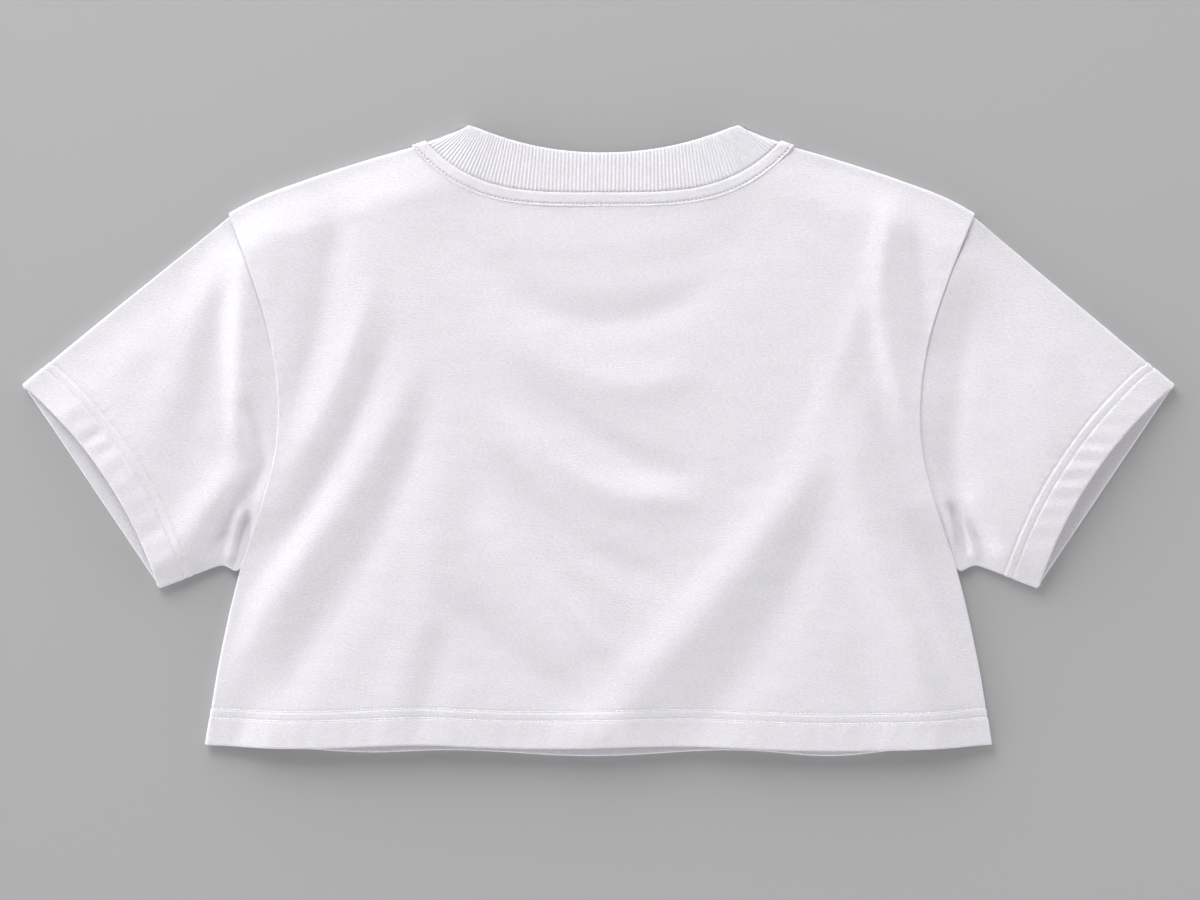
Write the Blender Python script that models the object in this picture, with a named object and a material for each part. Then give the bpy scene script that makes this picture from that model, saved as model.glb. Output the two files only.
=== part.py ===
"""Crop top in heavy cotton jersey with a rib collar, laid on its front with its back up.

The garment lies on the plane z = 0. +X runs across it and +Y from the hem to the collar, and the
origin is the middle of the area that it covers. Lengths are in millimetres; solid() makes metres.

Each piece is a wall of cloth. A function gives the outer face from the outline and from the height
of the cloth at each place, and gives the inner face too, a cloth thickness deeper. Where front and
back meet, at the sides and the shoulders, the cloth turns over in a half round of FOLD_RADIUS.
"""

from collections import namedtuple

import bmesh
import bpy
import numpy as np

MM = 0.001
WHITE = (0.87, 0.86, 0.89)

# Cloth and seams
CLOTH = 1.2  # heavy jersey
SEAM_GAP = 0.3  # between two pieces that are sewn together
SEAT = CLOTH + SEAM_GAP  # rise of whatever lies on one layer of cloth
HEM_DEPTH = 23.5  # from the edge to the upper row of stitches
HEM_RUN = 3.0  # over which the folded hem thins out to the single cloth
HEM_STEP = 0.4  # how far the folded hem stands proud
HEM_EXTRA = 0.7  # how much deeper its inner face lies
FOLD_RADIUS = 3.0  # of the side and shoulder folds, to the outer face
LOFT = 11.9  # usual height of the back panel's outer face
LOFT_FADE = 34.0  # how far in from a fold the cloth reaches that height
SIDE_FADE = 42.0  # the same from the side folds
FOLD_FADE = 24.0  # the same for its soft folds
LEAST = 0.8  # keeps those from sinking it below the height of the side folds

# Outline, half of it: left and right are alike, but for the lean
TIP_X, TIP_Y = 237.3, 144.8  # shoulder tip
NECK_X, NECK_Y = 112.5, 189.3  # where the neck seam crosses the shoulder
PEAK_X, PEAK_Y = 85.0, 200.8  # highest point of the collar
NECK_BACK_Y, NECK_BACK_POWER = 157.0, 3.7
NECK_FRONT_Y, NECK_FRONT_POWER = 89.6, 2.5
RIB_BACK_Y, RIB_BACK_POWER = 183.0, 2.1
RIB_FRONT_Y, RIB_FRONT_POWER = 116.5, 2.2
BACK_HEM_Y, FRONT_HEM_Y = -195.3, -195.84
CLOSED_Y, OPEN_Y = -90.0, -77.0  # the side seam is closed below, and the armhole open above
ARMHOLE_RISE = 40.0  # height over which the armhole's edge rises to its loft
LEAN = 3.2  # how far the collar lies to the right of the hem's middle

# Sleeve
SLEEVE_TOP_Y, SLEEVE_LOW_Y = 142.8, -73.0  # where its folds come out of the armhole
CUFF_TOP = (366.2, 35.6)
CUFF_LOW = (279.2, -93.4)
CUFF_BOW = 11.6  # how far the cuff's upper edge bows back from its lower one
CUFF_LOFT = 5.8  # how far the middle of the cuff rises above its folds
ARMHOLE_LOFT = 5.0  # the same beside the armhole
ARMHOLE_RADIUS = 1.5  # of the sleeve's folds where they lie inside the body's
CUFF_RADIUS = 3.0
LAP = 6.0  # how far the sleeve reaches in under the body
TUCK_DROP, TUCK_AT, TUCK_WIDTH = 8.0, 4.5, 7.5  # slack of the underarm, along its lower fold
TUCK_REACH = 22.0  # how far up from that fold the slack reaches
SEAT_FLAT, SEAT_RUN = 4.0, 12.0  # where the sleeve starts to come down from the body, and over what run
SLEEVE_BLEND = 48.0  # over which its top leaves the height of the body's edge
FOLD_START = 9.0  # over which its folds begin beside the seam
SLEEVE_TOP_FADE = 34.0  # how far in from its upper fold a sleeve reaches its height
SLEEVE_LOW_FADE = 13.0  # the same from its lower fold

# Neck
RIB_WALL = 2.6  # the collar is one strip of rib, folded double
RIB_HEIGHT = 0.4
RIB_PITCH = 2.52  # at the seam
RIB_PLAIN_EVERY = 4  # columns of the ribbed face to one of the plain face
RIB_EDGE_DROP = 1.5  # how far the collar falls to its free edge at the centre back
BINDING_WIDTH = 8.5
BINDING_GAP = 0.35  # between it and the panels beneath
NECK_LIFT = CLOTH + BINDING_GAP  # rise of the panels beside the neck: the front's binding is beneath
RIB_STEP = NECK_LIFT - RIB_HEIGHT  # so that the ribs' crests lie level with the binding
BINDING_COLUMNS = 26  # in a quarter of the neck
BINDING_NEAR = 5.0  # how much closer they lie where it goes round the shoulder
NECK_GAP = 0.5  # between the collar and the panels in plan
NECK_FLAT, NECK_RAMP = 12.0, 36.0  # width beside the seam that is raised, and its run-out
NECK_SAG = 3.5  # how far the back panel sinks into the opening of the neck
SAG_START_Y, SAG_RUN_Y = 88.0, 74.0  # where it begins, and over what run
SAG_END_X, SAG_RUN_X = 135.0, 60.0

Level = namedtuple("Level", "y half_width")
Shoulder = namedtuple("Shoulder", "x y")
Wave = namedtuple("Wave", "x half_width drop rise")
Fold = namedtuple("Fold", "x0 y0 x1 y1 x2 y2 width end_width height")
Row = namedtuple("Row", "share depth ribs")
Panel = namedtuple("Panel", "hem_y hem at_neck beyond low_rows high_rows top_insets")

BODY_OUTLINE = (
    Level(y=-196.0, half_width=250.4),
    Level(y=-133.0, half_width=239.8),
    Level(y=-82.0, half_width=227.8),
    Level(y=-37.5, half_width=212.8),
    Level(y=-8.0, half_width=205.4),
    Level(y=20.0, half_width=203.4),
    Level(y=57.8, half_width=207.5),
    Level(y=108.0, half_width=222.4),
    Level(y=TIP_Y, half_width=TIP_X),
)
# The first row lies past the collar's peak, to carry its direction on.
SHOULDER_LINE = (
    Shoulder(x=60.0, y=214.8),
    Shoulder(x=PEAK_X, y=PEAK_Y),
    Shoulder(x=97.5, y=194.4),
    Shoulder(x=NECK_X, y=NECK_Y),
    Shoulder(x=150.0, y=178.5),
    Shoulder(x=190.0, y=165.5),
    Shoulder(x=222.0, y=153.1),
    Shoulder(x=TIP_X, y=TIP_Y),
)
# The hems aren't straight: a wave drops the edge, and lifts the upper one off the lower.
BACK_HEM = (
    Wave(x=-255.0, half_width=34.0, drop=-2.2, rise=0.0),
    Wave(x=-117.0, half_width=46.0, drop=-2.6, rise=1.6),
    Wave(x=48.0, half_width=52.0, drop=-1.8, rise=1.2),
    Wave(x=150.0, half_width=60.0, drop=1.2, rise=0.4),
    Wave(x=255.0, half_width=30.0, drop=-2.4, rise=0.0),
)
FRONT_HEM = (
    Wave(x=-255.0, half_width=50.0, drop=-3.2, rise=0.0),
    Wave(x=-145.0, half_width=36.0, drop=2.4, rise=0.0),
    Wave(x=-5.0, half_width=62.0, drop=4.8, rise=0.0),
    Wave(x=147.0, half_width=40.0, drop=4.8, rise=0.0),
    Wave(x=255.0, half_width=50.0, drop=-3.6, rise=0.0),
)
HEM_WAVE_RUN = 60.0  # how far up the panel a wave's rise fades out
# Soft ridges and troughs of the back panel, each on a curve from its point 0 by way of 1 to 2
BODY_FOLDS = (
    Fold(-170, 170, -166, 86, -206, -8, 15, 8, -3.0),
    Fold(-142, 118, -152, 40, -212, -44, 8, 10, 1.8),
    Fold(-130, 86, -148, 2, -220, -88, 8, 10, -2.3),
    Fold(-116, 62, -124, -22, -290, -190, 8, 15, 2.2),
    Fold(-106, 52, -116, -60, -275, -240, 9, 21, -4.2),
    Fold(-94, 30, -103, -91, -140, -220, 12, 18, 1.1),
    Fold(-92, 134, -6, 31, 90, 114, 12, 12, -2.0),
    Fold(-58, 52, 0, -10, 72, -28, 9, 10, -2.0),
    Fold(-70, 32, -16, -54, 76, -34, 10, 11, 2.7),
    Fold(-72, 8, -24, -80, 66, -94, 10, 12, -2.3),
    Fold(-78, -30, -44, -98, 24, -152, 10, 12, 3.2),
    Fold(-102, -84, -56, -142, 26, -184, 11, 14, -3.0),
    Fold(192, 172, 157, 84, 212, -20, 10, 7, 2.5),
    Fold(160, 46, 146, -57, 246, -200, 15, 19, 3.1),
    Fold(158, 24, 98, -92, -50, -228, 14, 20, 3.6),
    Fold(142, -18, 134, -112, 14, -236, 10, 24, -3.6),
    Fold(196, 40, 206, -60, 256, -160, 9, 14, -2.0),
)
# The same on the sleeves
SLEEVE_FOLDS = (
    Fold(-234, 160, -248, 86, -294, -32, 12, 14, 1.3),
    Fold(-230, 150, -238, 84, -270, -44, 9, 11, -1.2),
    Fold(-228, 118, -227, 50, -229, -34, 9, 9, 3.2),
    Fold(-216, -12, -250, -50, -304, -102, 13, 14, 2.4),
    Fold(-208, -8, -228, -46, -252, -90, 9, 9, -2.4),
    Fold(220, 116, 218, 44, 215, -44, 7, 8, -1.0),
    Fold(232, -14, 258, -52, 296, -102, 11, 13, 1.2),
    Fold(216, -2, 226, -44, 254, -88, 8, 8, -1.6),
)
FOLD_END = 0.3  # share of a fold's length over which it fades at either end
FOLD_POINTS = 13  # of its curve

# Stations of the grids
FOLD_ANGLES = (0.0, 30.0, 60.0, 90.0)  # round a fold, in degrees
EDGE_INSETS = (18.0, 8.0)
HEM_ROWS = (0.0, HEM_DEPTH - HEM_RUN, HEM_DEPTH)
UNDERARM_ROWS = 2  # where the side seam opens into the armhole
# A panel has columns along the neck seam, and beyond it at shares of the way on to the last inset. It
# has rows below the underarm and above it, and the last of these lie at insets from the top edge.
BACK = Panel(
    hem_y=BACK_HEM_Y,
    hem=BACK_HEM,
    at_neck=(0.0, 18.0, 36.0, 53.0, 68.0, 80.0, 90.0, 99.0, 106.0),
    beyond=(0.09, 0.24, 0.4, 0.58, 0.78),
    low_rows=5,
    high_rows=12,
    top_insets=(18.0, 9.0),
)
FRONT = Panel(
    hem_y=FRONT_HEM_Y,
    hem=FRONT_HEM,
    at_neck=(0.0, 12.0, 24.0, 35.0, 46.0, 56.0, 65.0, 74.0, 82.0, 90.0, 97.0, 103.0, 108.0),
    beyond=(0.09, 0.24, 0.4, 0.68),
    low_rows=1,
    high_rows=4,
    top_insets=(33.0, 12.0),
)
SLEEVE_ANGLES = (0.0, 45.0, 90.0)
SLEEVE_NEAR = (-LAP, 0.0, 1.0, 4.5, 9.0, 15.0)  # distances out from the armhole seam
SLEEVE_MIDDLE = (0.18, 0.36, 0.54, 0.77)
SLEEVE_UNDER = (0.14, 0.32, 0.5, 0.68, 0.86)
SLEEVE_MARGIN = 6.0  # least distance of a column of its upper side from its folds
# The collar's section, from its seam round the free edge: share of its height, depth, and ribs
RIB_SECTION = (
    Row(share=0.0, depth=0.0, ribs=1.0),
    Row(share=0.5, depth=0.0, ribs=1.0),
    Row(share=0.965, depth=0.0, ribs=0.6),
    Row(share=1.0, depth=RIB_WALL / 2, ribs=0.0),
    Row(share=0.965, depth=RIB_WALL, ribs=0.0),
    Row(share=0.0, depth=RIB_WALL, ribs=0.0),
)
DENSE = 500  # points of a curve before it is divided evenly
NECK_EVERY = 12  # of those points are taken where only the distance from the seam counts


def smooth(t):
    """0 below 0, 1 above 1, and an S between."""
    t = np.clip(t, 0.0, 1.0)
    return t * t * (3.0 - 2.0 * t)


def mix(a, b, t):
    return a + (b - a) * t


def through(rows, at):
    """The smooth curve through a table's rows, and level past its ends."""
    k, v = np.array(rows, float).T
    slope = np.gradient(v, k)
    at = np.clip(at, k[0], k[-1])
    i = np.clip(np.searchsorted(k, at) - 1, 0, len(k) - 2)
    run = k[i + 1] - k[i]
    t = (at - k[i]) / run
    start = mix(v[i], v[i + 1], smooth(t))
    return start + run * t * (1 - t) * ((1 - t) * slope[i] - t * slope[i + 1])


def half_width(y):
    return through(BODY_OUTLINE, y)


def shoulder_y(x):
    return through(SHOULDER_LINE, np.abs(x))


def lean(y):
    """How far the garment at this height lies to the right of its hem."""
    return LEAN * np.clip((y - OPEN_Y) / (PEAK_Y - OPEN_Y), 0.0, 1.0) ** 2


def waves(table, x, what):
    return sum(getattr(w, what) * np.exp(-(((x - w.x) / w.half_width) ** 2)) for w in table)


# ---- folds and heights ----


def nearest(x, y, line):
    """Distance in plan from each point to a line of points, and the share of it at the nearest place."""
    start, run = line[:-1], np.diff(line, axis=0)
    px, py = x[..., None] - start[:, 0], y[..., None] - start[:, 1]
    t = np.clip((px * run[:, 0] + py * run[:, 1]) / (run**2).sum(1), 0.0, 1.0)
    apart = np.hypot(px - t * run[:, 0], py - t * run[:, 1])
    near = apart.argmin(-1)
    share = np.take_along_axis(t, near[..., None], -1)[..., 0] + near
    return apart.min(-1), share / len(run)


def fold_heights(folds, x, y):
    """Sum of the soft ridges and troughs."""
    t = np.linspace(0.0, 1.0, FOLD_POINTS)[:, None]
    height = np.zeros_like(x)
    for f in folds:
        ends = np.array([(f.x0, f.y0), (f.x1, f.y1), (f.x2, f.y2)], float)
        line = (1 - t) ** 2 * ends[0] + 2 * t * (1 - t) * ends[1] + t**2 * ends[2]
        apart, share = nearest(x, y, line)
        fade = smooth(share / FOLD_END) * smooth((1 - share) / FOLD_END)
        width = mix(f.width, f.end_width, share)
        fade = fade * width / max(f.width, f.end_width)
        height += f.height * np.exp(-((apart / width) ** 2)) * fade
    return height


def shoulder_fold(x, y):
    """Distance in from the shoulder's fold, and the direction straight in from it."""
    step = 1.0
    low, high = np.abs(x) - step, np.minimum(np.abs(x) + step, TIP_X)
    slope = (shoulder_y(high) - shoulder_y(low)) / (high - low)
    inward = np.stack([np.sign(x) * slope, -np.ones_like(slope)], -1)
    inward /= np.linalg.norm(inward, axis=-1, keepdims=True)
    return (shoulder_y(x) - y) * -inward[..., 1], inward


def neck_line(face, across=0.0):
    """Quarter of a line round the neck this far out from the seam, from its middle to the shoulder."""
    low_y, power = (NECK_BACK_Y, NECK_BACK_POWER) if face > 0 else (NECK_FRONT_Y, NECK_FRONT_POWER)
    end_x = NECK_X + across
    x = end_x * np.sin(np.linspace(0.0, np.pi / 2, DENSE))
    return x, low_y - across + (shoulder_y(end_x) - low_y + across) * (x / end_x) ** power


def neck_lift(x, y, face):
    """How far a panel is raised beside its neck seam, where the front's binding lies beneath."""
    line = np.stack(neck_line(face), -1)[::NECK_EVERY]
    apart, _ = nearest(np.abs(x), y, line)
    return NECK_LIFT * (1.0 - smooth((apart - NECK_FLAT) / NECK_RAMP))


def back_rise(x, y):
    """How far the back panel stands above the height of its folds."""
    from_side = half_width(y) - np.abs(x)
    from_shoulder, _ = shoulder_fold(x, y)
    beside_seam = smooth((OPEN_Y + ARMHOLE_RISE - y) / ARMHOLE_RISE)
    inside = smooth(from_shoulder / LOFT_FADE)
    inside = inside * (1.0 - beside_seam * (1.0 - smooth(from_side / SIDE_FADE)))
    for_folds = smooth(from_shoulder / FOLD_FADE)
    for_folds = for_folds * (1.0 - beside_seam * (1.0 - smooth(from_side / FOLD_FADE)))
    wave = waves(BACK_HEM, x, "rise") * (1.0 - smooth((y - BACK_HEM_Y) / HEM_WAVE_RUN))
    sag = NECK_SAG * smooth((y - SAG_START_Y) / SAG_RUN_Y)
    sag = sag * smooth((SAG_END_X - np.abs(x)) / SAG_RUN_X)
    rise = inside * (LOFT - 2 * FOLD_RADIUS + wave - sag)
    rise = rise + for_folds * fold_heights(BODY_FOLDS, x, y)
    return (rise + np.hypot(rise, LEAST) - LEAST) / 2


def folded(x, y, face, depth, radius, middle, gap=0.0, closed=0.0):
    """Points of cloth that lies at these places and turns over at the shoulder.

    Face 1 is the back and -1 the front. depth counts inwards from the outer face. The fold's axis is
    at the height middle, gap parts back from front there, and closed is 1 where the side is shut.
    """
    from_shoulder, inward = shoulder_fold(x, y)
    shoulder_cos = np.clip(1.0 - from_shoulder / radius, 0.0, 1.0)
    side_cos = closed * np.clip(1.0 - (half_width(y) - np.abs(x)) / radius, 0.0, 1.0)
    sine = np.sqrt(np.clip(1.0 - side_cos**2 - shoulder_cos**2, 0.0, 1.0))
    z = middle + face * (gap / 2 + (radius - gap / 2 - depth) * sine)
    px = x + depth * (shoulder_cos * inward[..., 0] - side_cos * np.sign(x))
    py = y + depth * shoulder_cos * inward[..., 1]
    return np.stack([px + lean(py), py, z], -1)


def body_surface(x, y, face, depth, gap=SEAM_GAP):
    """Points of the body's cloth at these places."""
    closed = smooth((OPEN_Y - y) / (OPEN_Y - CLOSED_Y))
    middle = FOLD_RADIUS + neck_lift(x, y, face)
    points = folded(x, y, face, depth, FOLD_RADIUS, middle, gap, closed)
    if face > 0:
        points[..., 2] += back_rise(x, y)
    return points


# ---- front and back ----


def fold_insets(radius=FOLD_RADIUS, angles=FOLD_ANGLES):
    """How far in from a fold its stations lie, from the innermost out."""
    return [radius * (1.0 - np.cos(np.radians(a))) for a in angles[::-1]]


def fold_columns(face):
    """Columns where the neck seam goes round the shoulder's fold."""
    x, y = neck_line(face)
    apart, _ = shoulder_fold(x, y)
    near = x > NECK_X - 2 * FOLD_RADIUS
    return [np.interp(-inset, -apart[near], x[near]) for inset in fold_insets()]


def between(start, stop, count):
    """Rows that divide the way between two rows, without those two."""
    return [mix(start, stop, share) for share in np.linspace(0.0, 1.0, count + 2)[1:-1]]


def body_grid(face):
    """Places of a panel's grid, rows from hem to top, and how far each is from the hem."""
    cut = BACK if face > 0 else FRONT
    # Each column: its place up to the neck seam's end, its share of the way on, and its inset at last
    columns = [(x, 0.0, EDGE_INSETS[0]) for x in [*cut.at_neck, *fold_columns(face)]]
    columns += [(NECK_X, share, EDGE_INSETS[0]) for share in cut.beyond]
    columns += [(NECK_X, 1.0, inset) for inset in [*EDGE_INSETS, *fold_insets()]]
    place, share, inset = np.array(columns).T

    def half_row(y):
        return place + share * (half_width(y) - EDGE_INSETS[0] - NECK_X) + EDGE_INSETS[0] - inset

    top_x = half_row(TIP_Y)
    neck_x, neck_y = neck_line(face)
    top_y = np.where(top_x < NECK_X, np.interp(top_x, neck_x, neck_y), shoulder_y(top_x))
    _, inward = shoulder_fold(top_x, top_y)

    def half_rows(side):
        hem_y = cut.hem_y - waves(cut.hem, side * half_row(cut.hem_y), "drop")
        shut, opened = np.full_like(top_x, CLOSED_Y), np.full_like(top_x, OPEN_Y)
        rows = [hem_y + h for h in HEM_ROWS]
        rows += [*between(rows[-1], shut, cut.low_rows), shut]
        rows += [*between(shut, opened, UNDERARM_ROWS), opened]
        rows += between(opened, top_y - cut.top_insets[0], cut.high_rows)
        rows += [top_y - inset for inset in cut.top_insets]
        rows += [top_y + inset / inward[:, 1] for inset in fold_insets()]
        return np.array(rows), hem_y

    (left, left_hem), (right, right_hem) = half_rows(-1), half_rows(1)
    y = np.concatenate([left[:, :0:-1], right], axis=1)
    hem_y = np.concatenate([left_hem[:0:-1], right_hem])
    x = np.concatenate([-half_row(left)[:, :0:-1], half_row(right)], axis=1)
    return x, y, y - hem_y


def in_hem(distance):
    """1 in the folded hem, 0 in the single cloth."""
    return 1.0 - smooth((distance - HEM_ROWS[1]) / HEM_RUN)


def panel(name, face):
    x, y, from_hem = body_grid(face)
    hem = in_hem(from_hem)
    outer = body_surface(x, y, face, -HEM_STEP * hem * (face > 0))
    inner = body_surface(x, y, face, CLOTH + HEM_EXTRA * hem)
    solid(name, *wall(outer, inner))


# ---- sleeves ----


def sleeve_stations():
    """Stations round a sleeve: share of the way from its upper to its lower fold, angle, and face."""
    _, y, _ = body_grid(1)
    edge = y[:, 0]
    edge = edge[(edge > SLEEVE_LOW_Y + SLEEVE_MARGIN) & (edge < SLEEVE_TOP_Y - SLEEVE_MARGIN)]
    angles = SLEEVE_ANGLES
    stations = [(0.0, a, -1) for a in angles[:0:-1]]
    stations += [(0.0, a, 1) for a in angles]
    stations += [((SLEEVE_TOP_Y - y) / (SLEEVE_TOP_Y - SLEEVE_LOW_Y), 90.0, 1) for y in edge[::-1]]
    stations += [(1.0, a, 1) for a in angles[::-1]]
    stations += [(1.0, a, -1) for a in angles[1:]]
    stations += [(share, 90.0, -1) for share in SLEEVE_UNDER[::-1]]
    return np.array(stations).T


def sleeve_surface(side, inner):
    """Points of a sleeve's outer or inner face, rows from the armhole to the cuff."""
    across, angle, face = sleeve_stations()
    y = mix(SLEEVE_TOP_Y, SLEEVE_LOW_Y, across)
    armhole = np.stack([half_width(y), y], -1)
    _, shoulder_in = shoulder_fold(np.array([TIP_X]), np.array([TIP_Y]))
    along_shoulder = shoulder_in[0] @ np.array([[0.0, -1.0], [1.0, 0.0]])
    inwards = mix(along_shoulder * np.sign(-along_shoulder[0]), np.array([-1.0, 0.0]), across[:, None])
    chord = np.subtract(CUFF_LOW, CUFF_TOP)
    back_in = np.array([chord[1], -chord[0]]) / np.linalg.norm(chord)
    bow = CUFF_BOW * 4 * across * (1 - across) * (face > 0)
    cuff = CUFF_TOP + across[:, None] * chord + bow[:, None] * back_in
    length = np.linalg.norm(cuff - armhole, axis=-1)
    near = [np.full_like(length, d) for d in SLEEVE_NEAR]
    hem_start = length - HEM_DEPTH
    middle = [mix(near[-1], hem_start, share) for share in SLEEVE_MIDDLE]
    along = np.array([*near, *middle, hem_start, hem_start + HEM_RUN, length])
    hem = in_hem(length - along)
    depth = CLOTH + HEM_EXTRA * hem if inner else -HEM_STEP * hem * (face > 0)

    # Places, and then in from the two folds
    out = np.maximum(along, 0.0) / length
    plan = armhole + (cuff - armhole) * out[..., None] + inwards * np.maximum(-along, 0.0)[..., None]
    upper, lower = plan[:, across == 0.0][:, :1], plan[:, across == 1.0][:, :1]
    width = np.linalg.norm(lower - upper, axis=-1)
    share = smooth(1.3 * out)  # of the way from the armhole's section to the cuff's
    radius = mix(ARMHOLE_RADIUS, CUFF_RADIUS, share)
    cosine, sine = np.cos(np.radians(angle)), np.sin(np.radians(angle))
    inset = (radius - (radius - depth) * cosine) * ((across == 0.0) * 1.0 - (across == 1.0))
    plan = plan + inset[..., None] * (lower - upper) / width[..., None]
    tuck = TUCK_DROP * np.exp(-(((along - TUCK_AT) / TUCK_WIDTH) ** 2))
    plan[..., 1] -= tuck * np.maximum(1.0 - (1 - across) * width / TUCK_REACH, 0.0) ** 2
    x, y = plan[..., 0], plan[..., 1]

    # Heights: the lower side lies on the surface or on the front panel, the upper one is lofted
    lift = SEAT * (1.0 - smooth((along - SEAT_FLAT) / SEAT_RUN))
    arch = 4 * across * (1 - across)
    at_body = body_surface(side * np.minimum(x, half_width(y)), y, 1, 0.0)[..., 2] - SEAT
    own = lift + 2 * radius + mix(ARMHOLE_LOFT, CUFF_LOFT, share) * arch
    rise = mix(at_body, own, smooth(along / SLEEVE_BLEND)) - lift - 2 * radius
    rise = rise + fold_heights(SLEEVE_FOLDS, side * x, y) * smooth(along / FOLD_START)
    inside = smooth(across * width / SLEEVE_TOP_FADE) * smooth((1 - across) * width / SLEEVE_LOW_FADE)
    rise = np.maximum(rise, 0.0) * inside
    z = lift + radius + face * (radius - depth) * sine + rise * (face > 0)
    return np.stack([side * x + lean(y) * (1.0 - smooth(out)), y, z], -1)


def sleeve(name, side):
    solid(name, *wall(sleeve_surface(side, False), sleeve_surface(side, True), tube=True))


# ---- collar and binding ----


def rib_edge(face):
    """Quarter of the collar's free edge, from its middle to its peak."""
    low_y, power = (RIB_BACK_Y, RIB_BACK_POWER) if face > 0 else (RIB_FRONT_Y, RIB_FRONT_POWER)
    x = PEAK_X * np.sin(np.linspace(0.0, np.pi / 2, DENSE))
    return x, low_y + (PEAK_Y - low_y) * (x / PEAK_X) ** power


def collar_surface(x, y, face, depth):
    return folded(x, y, face, depth, FOLD_RADIUS + RIB_STEP, FOLD_RADIUS + NECK_LIFT)


def run_along(points):
    """Distance along a line of points."""
    step = np.linalg.norm(np.diff(points, axis=0), axis=-1)
    return np.concatenate([[0.0], np.cumsum(step)])


def collar_quarter(face):
    """Rows of the collar's section, a point for each rib's crest and each valley between two."""
    seam, edge = neck_line(face, -NECK_GAP), rib_edge(face)
    seam_run = run_along(collar_surface(*seam, face, 0.0))
    edge_run = run_along(collar_surface(*edge, face, 0.0))
    columns = RIB_PLAIN_EVERY * round(2 * seam_run[-1] / RIB_PITCH / RIB_PLAIN_EVERY)
    share = np.linspace(0.0, 1.0, columns + 1)
    # The ribs stand square to the seam in the middle and draw together towards the peak.
    squeeze = seam_run[-1] / edge_run[-1]
    edge_share = squeeze * share + (1.0 - squeeze) * share**3
    seam = np.array([np.interp(share * seam_run[-1], seam_run, line) for line in seam])
    edge = np.array([np.interp(edge_share * edge_run[-1], edge_run, line) for line in edge])
    rise = back_rise(*seam) if face > 0 else np.zeros(columns + 1)
    drop = RIB_EDGE_DROP * (1.0 - share**2) * (face > 0)
    crest = np.arange(columns + 1) % 2 == 0
    rows = []
    for row in RIB_SECTION:
        depth = row.depth - RIB_HEIGHT * row.ribs * crest
        points = collar_surface(*mix(seam, edge, row.share), face, depth)
        points[:, 2] += rise - drop * row.share
        rows.append(points)
    return rows


def binding_line(face, across, depth):
    """Quarter of the binding this far out from the seam, closer spaced round the shoulder's fold."""
    run = run_along(body_surface(*neck_line(face), face, -BINDING_GAP, gap=0.0))
    near = smooth((run - run[-1] + 2 * BINDING_WIDTH) / BINDING_WIDTH)
    pace = np.cumsum(np.diff(run, prepend=0.0) * (1.0 + BINDING_NEAR * near))
    shares = np.linspace(0.0, pace[-1], BINDING_COLUMNS + 1)
    points = body_surface(*neck_line(face, across), face, depth, gap=0.0)
    return np.array([np.interp(shares, pace, line) for line in points.T]).T


def ring(back, front):
    """A whole ring from its back and front quarters, each from the middle to the shoulder's fold."""
    half = np.concatenate([back, front[-2::-1]])
    mirrored = half[-2:0:-1] * (-1.0, 1.0, 1.0)
    mirrored[:, 0] += 2 * lean(mirrored[:, 1])
    return np.concatenate([half, mirrored])


def collar(name):
    rings = [ring(back, front) for back, front in zip(collar_quarter(1), collar_quarter(-1))]
    ribbed = [r for r, row in zip(rings, RIB_SECTION) if row.ribs]
    plain = [r[::RIB_PLAIN_EVERY] for r, row in zip(rings, RIB_SECTION) if not row.ribs]
    points = np.concatenate([*ribbed, *plain])
    count = len(ribbed[0])
    ribbed = np.arange(len(ribbed) * count).reshape(-1, count)
    plain = ribbed.size + np.arange(len(points) - ribbed.size).reshape(-1, count // RIB_PLAIN_EVERY)
    faces = quads(wrapped(ribbed)) + quads(wrapped(plain))
    faces += fan(ribbed[-1], plain[0]) + fan(ribbed[0], plain[-1])
    solid(name, points, faces)


def binding(name):
    lines = (0.0, BINDING_WIDTH)
    faces = [
        np.array([ring(*[binding_line(face, across, depth) for face in (1, -1)]) for across in lines])
        for depth in (-BINDING_GAP - CLOTH, -BINDING_GAP)
    ]
    solid(name, *wall(*faces, tube=True))


# ---- solids ----


def wrapped(index):
    """A grid of point numbers whose last column meets its first."""
    return np.concatenate([index, index[..., :1]], axis=-1)


def quads(index):
    corners = [index[:-1, :-1], index[:-1, 1:], index[1:, 1:], index[1:, :-1]]
    return np.stack(corners, -1).reshape(-1, 4).tolist()


def fan(many, few):
    """Triangles between a close-spaced ring and one with a point for every few of its points."""
    step = len(many) // len(few)
    faces = []
    for i, apex in enumerate(few):
        following = few[(i + 1) % len(few)]
        for k in range(step):
            a, b = many[i * step + k], many[(i * step + k + 1) % len(many)]
            faces.append((a, b, apex if k < step // 2 else following))
        faces.append((many[i * step + step // 2], following, apex))
    return [tuple(int(i) for i in face) for face in faces]


def wall(outer, inner, tube=False):
    """Points and faces of the wall between two grids of points. A tube's columns run all round."""
    points = np.concatenate([outer.reshape(-1, 3), inner.reshape(-1, 3)])
    index = np.arange(len(points)).reshape(2, *outer.shape[:2])
    if tube:
        index = wrapped(index)
    faces = quads(index[0]) + quads(index[1]) + quads(index[:, 0]) + quads(index[:, -1])
    if not tube:
        faces += quads(index[:, :, 0]) + quads(index[:, :, -1])
    return points, faces


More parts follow.
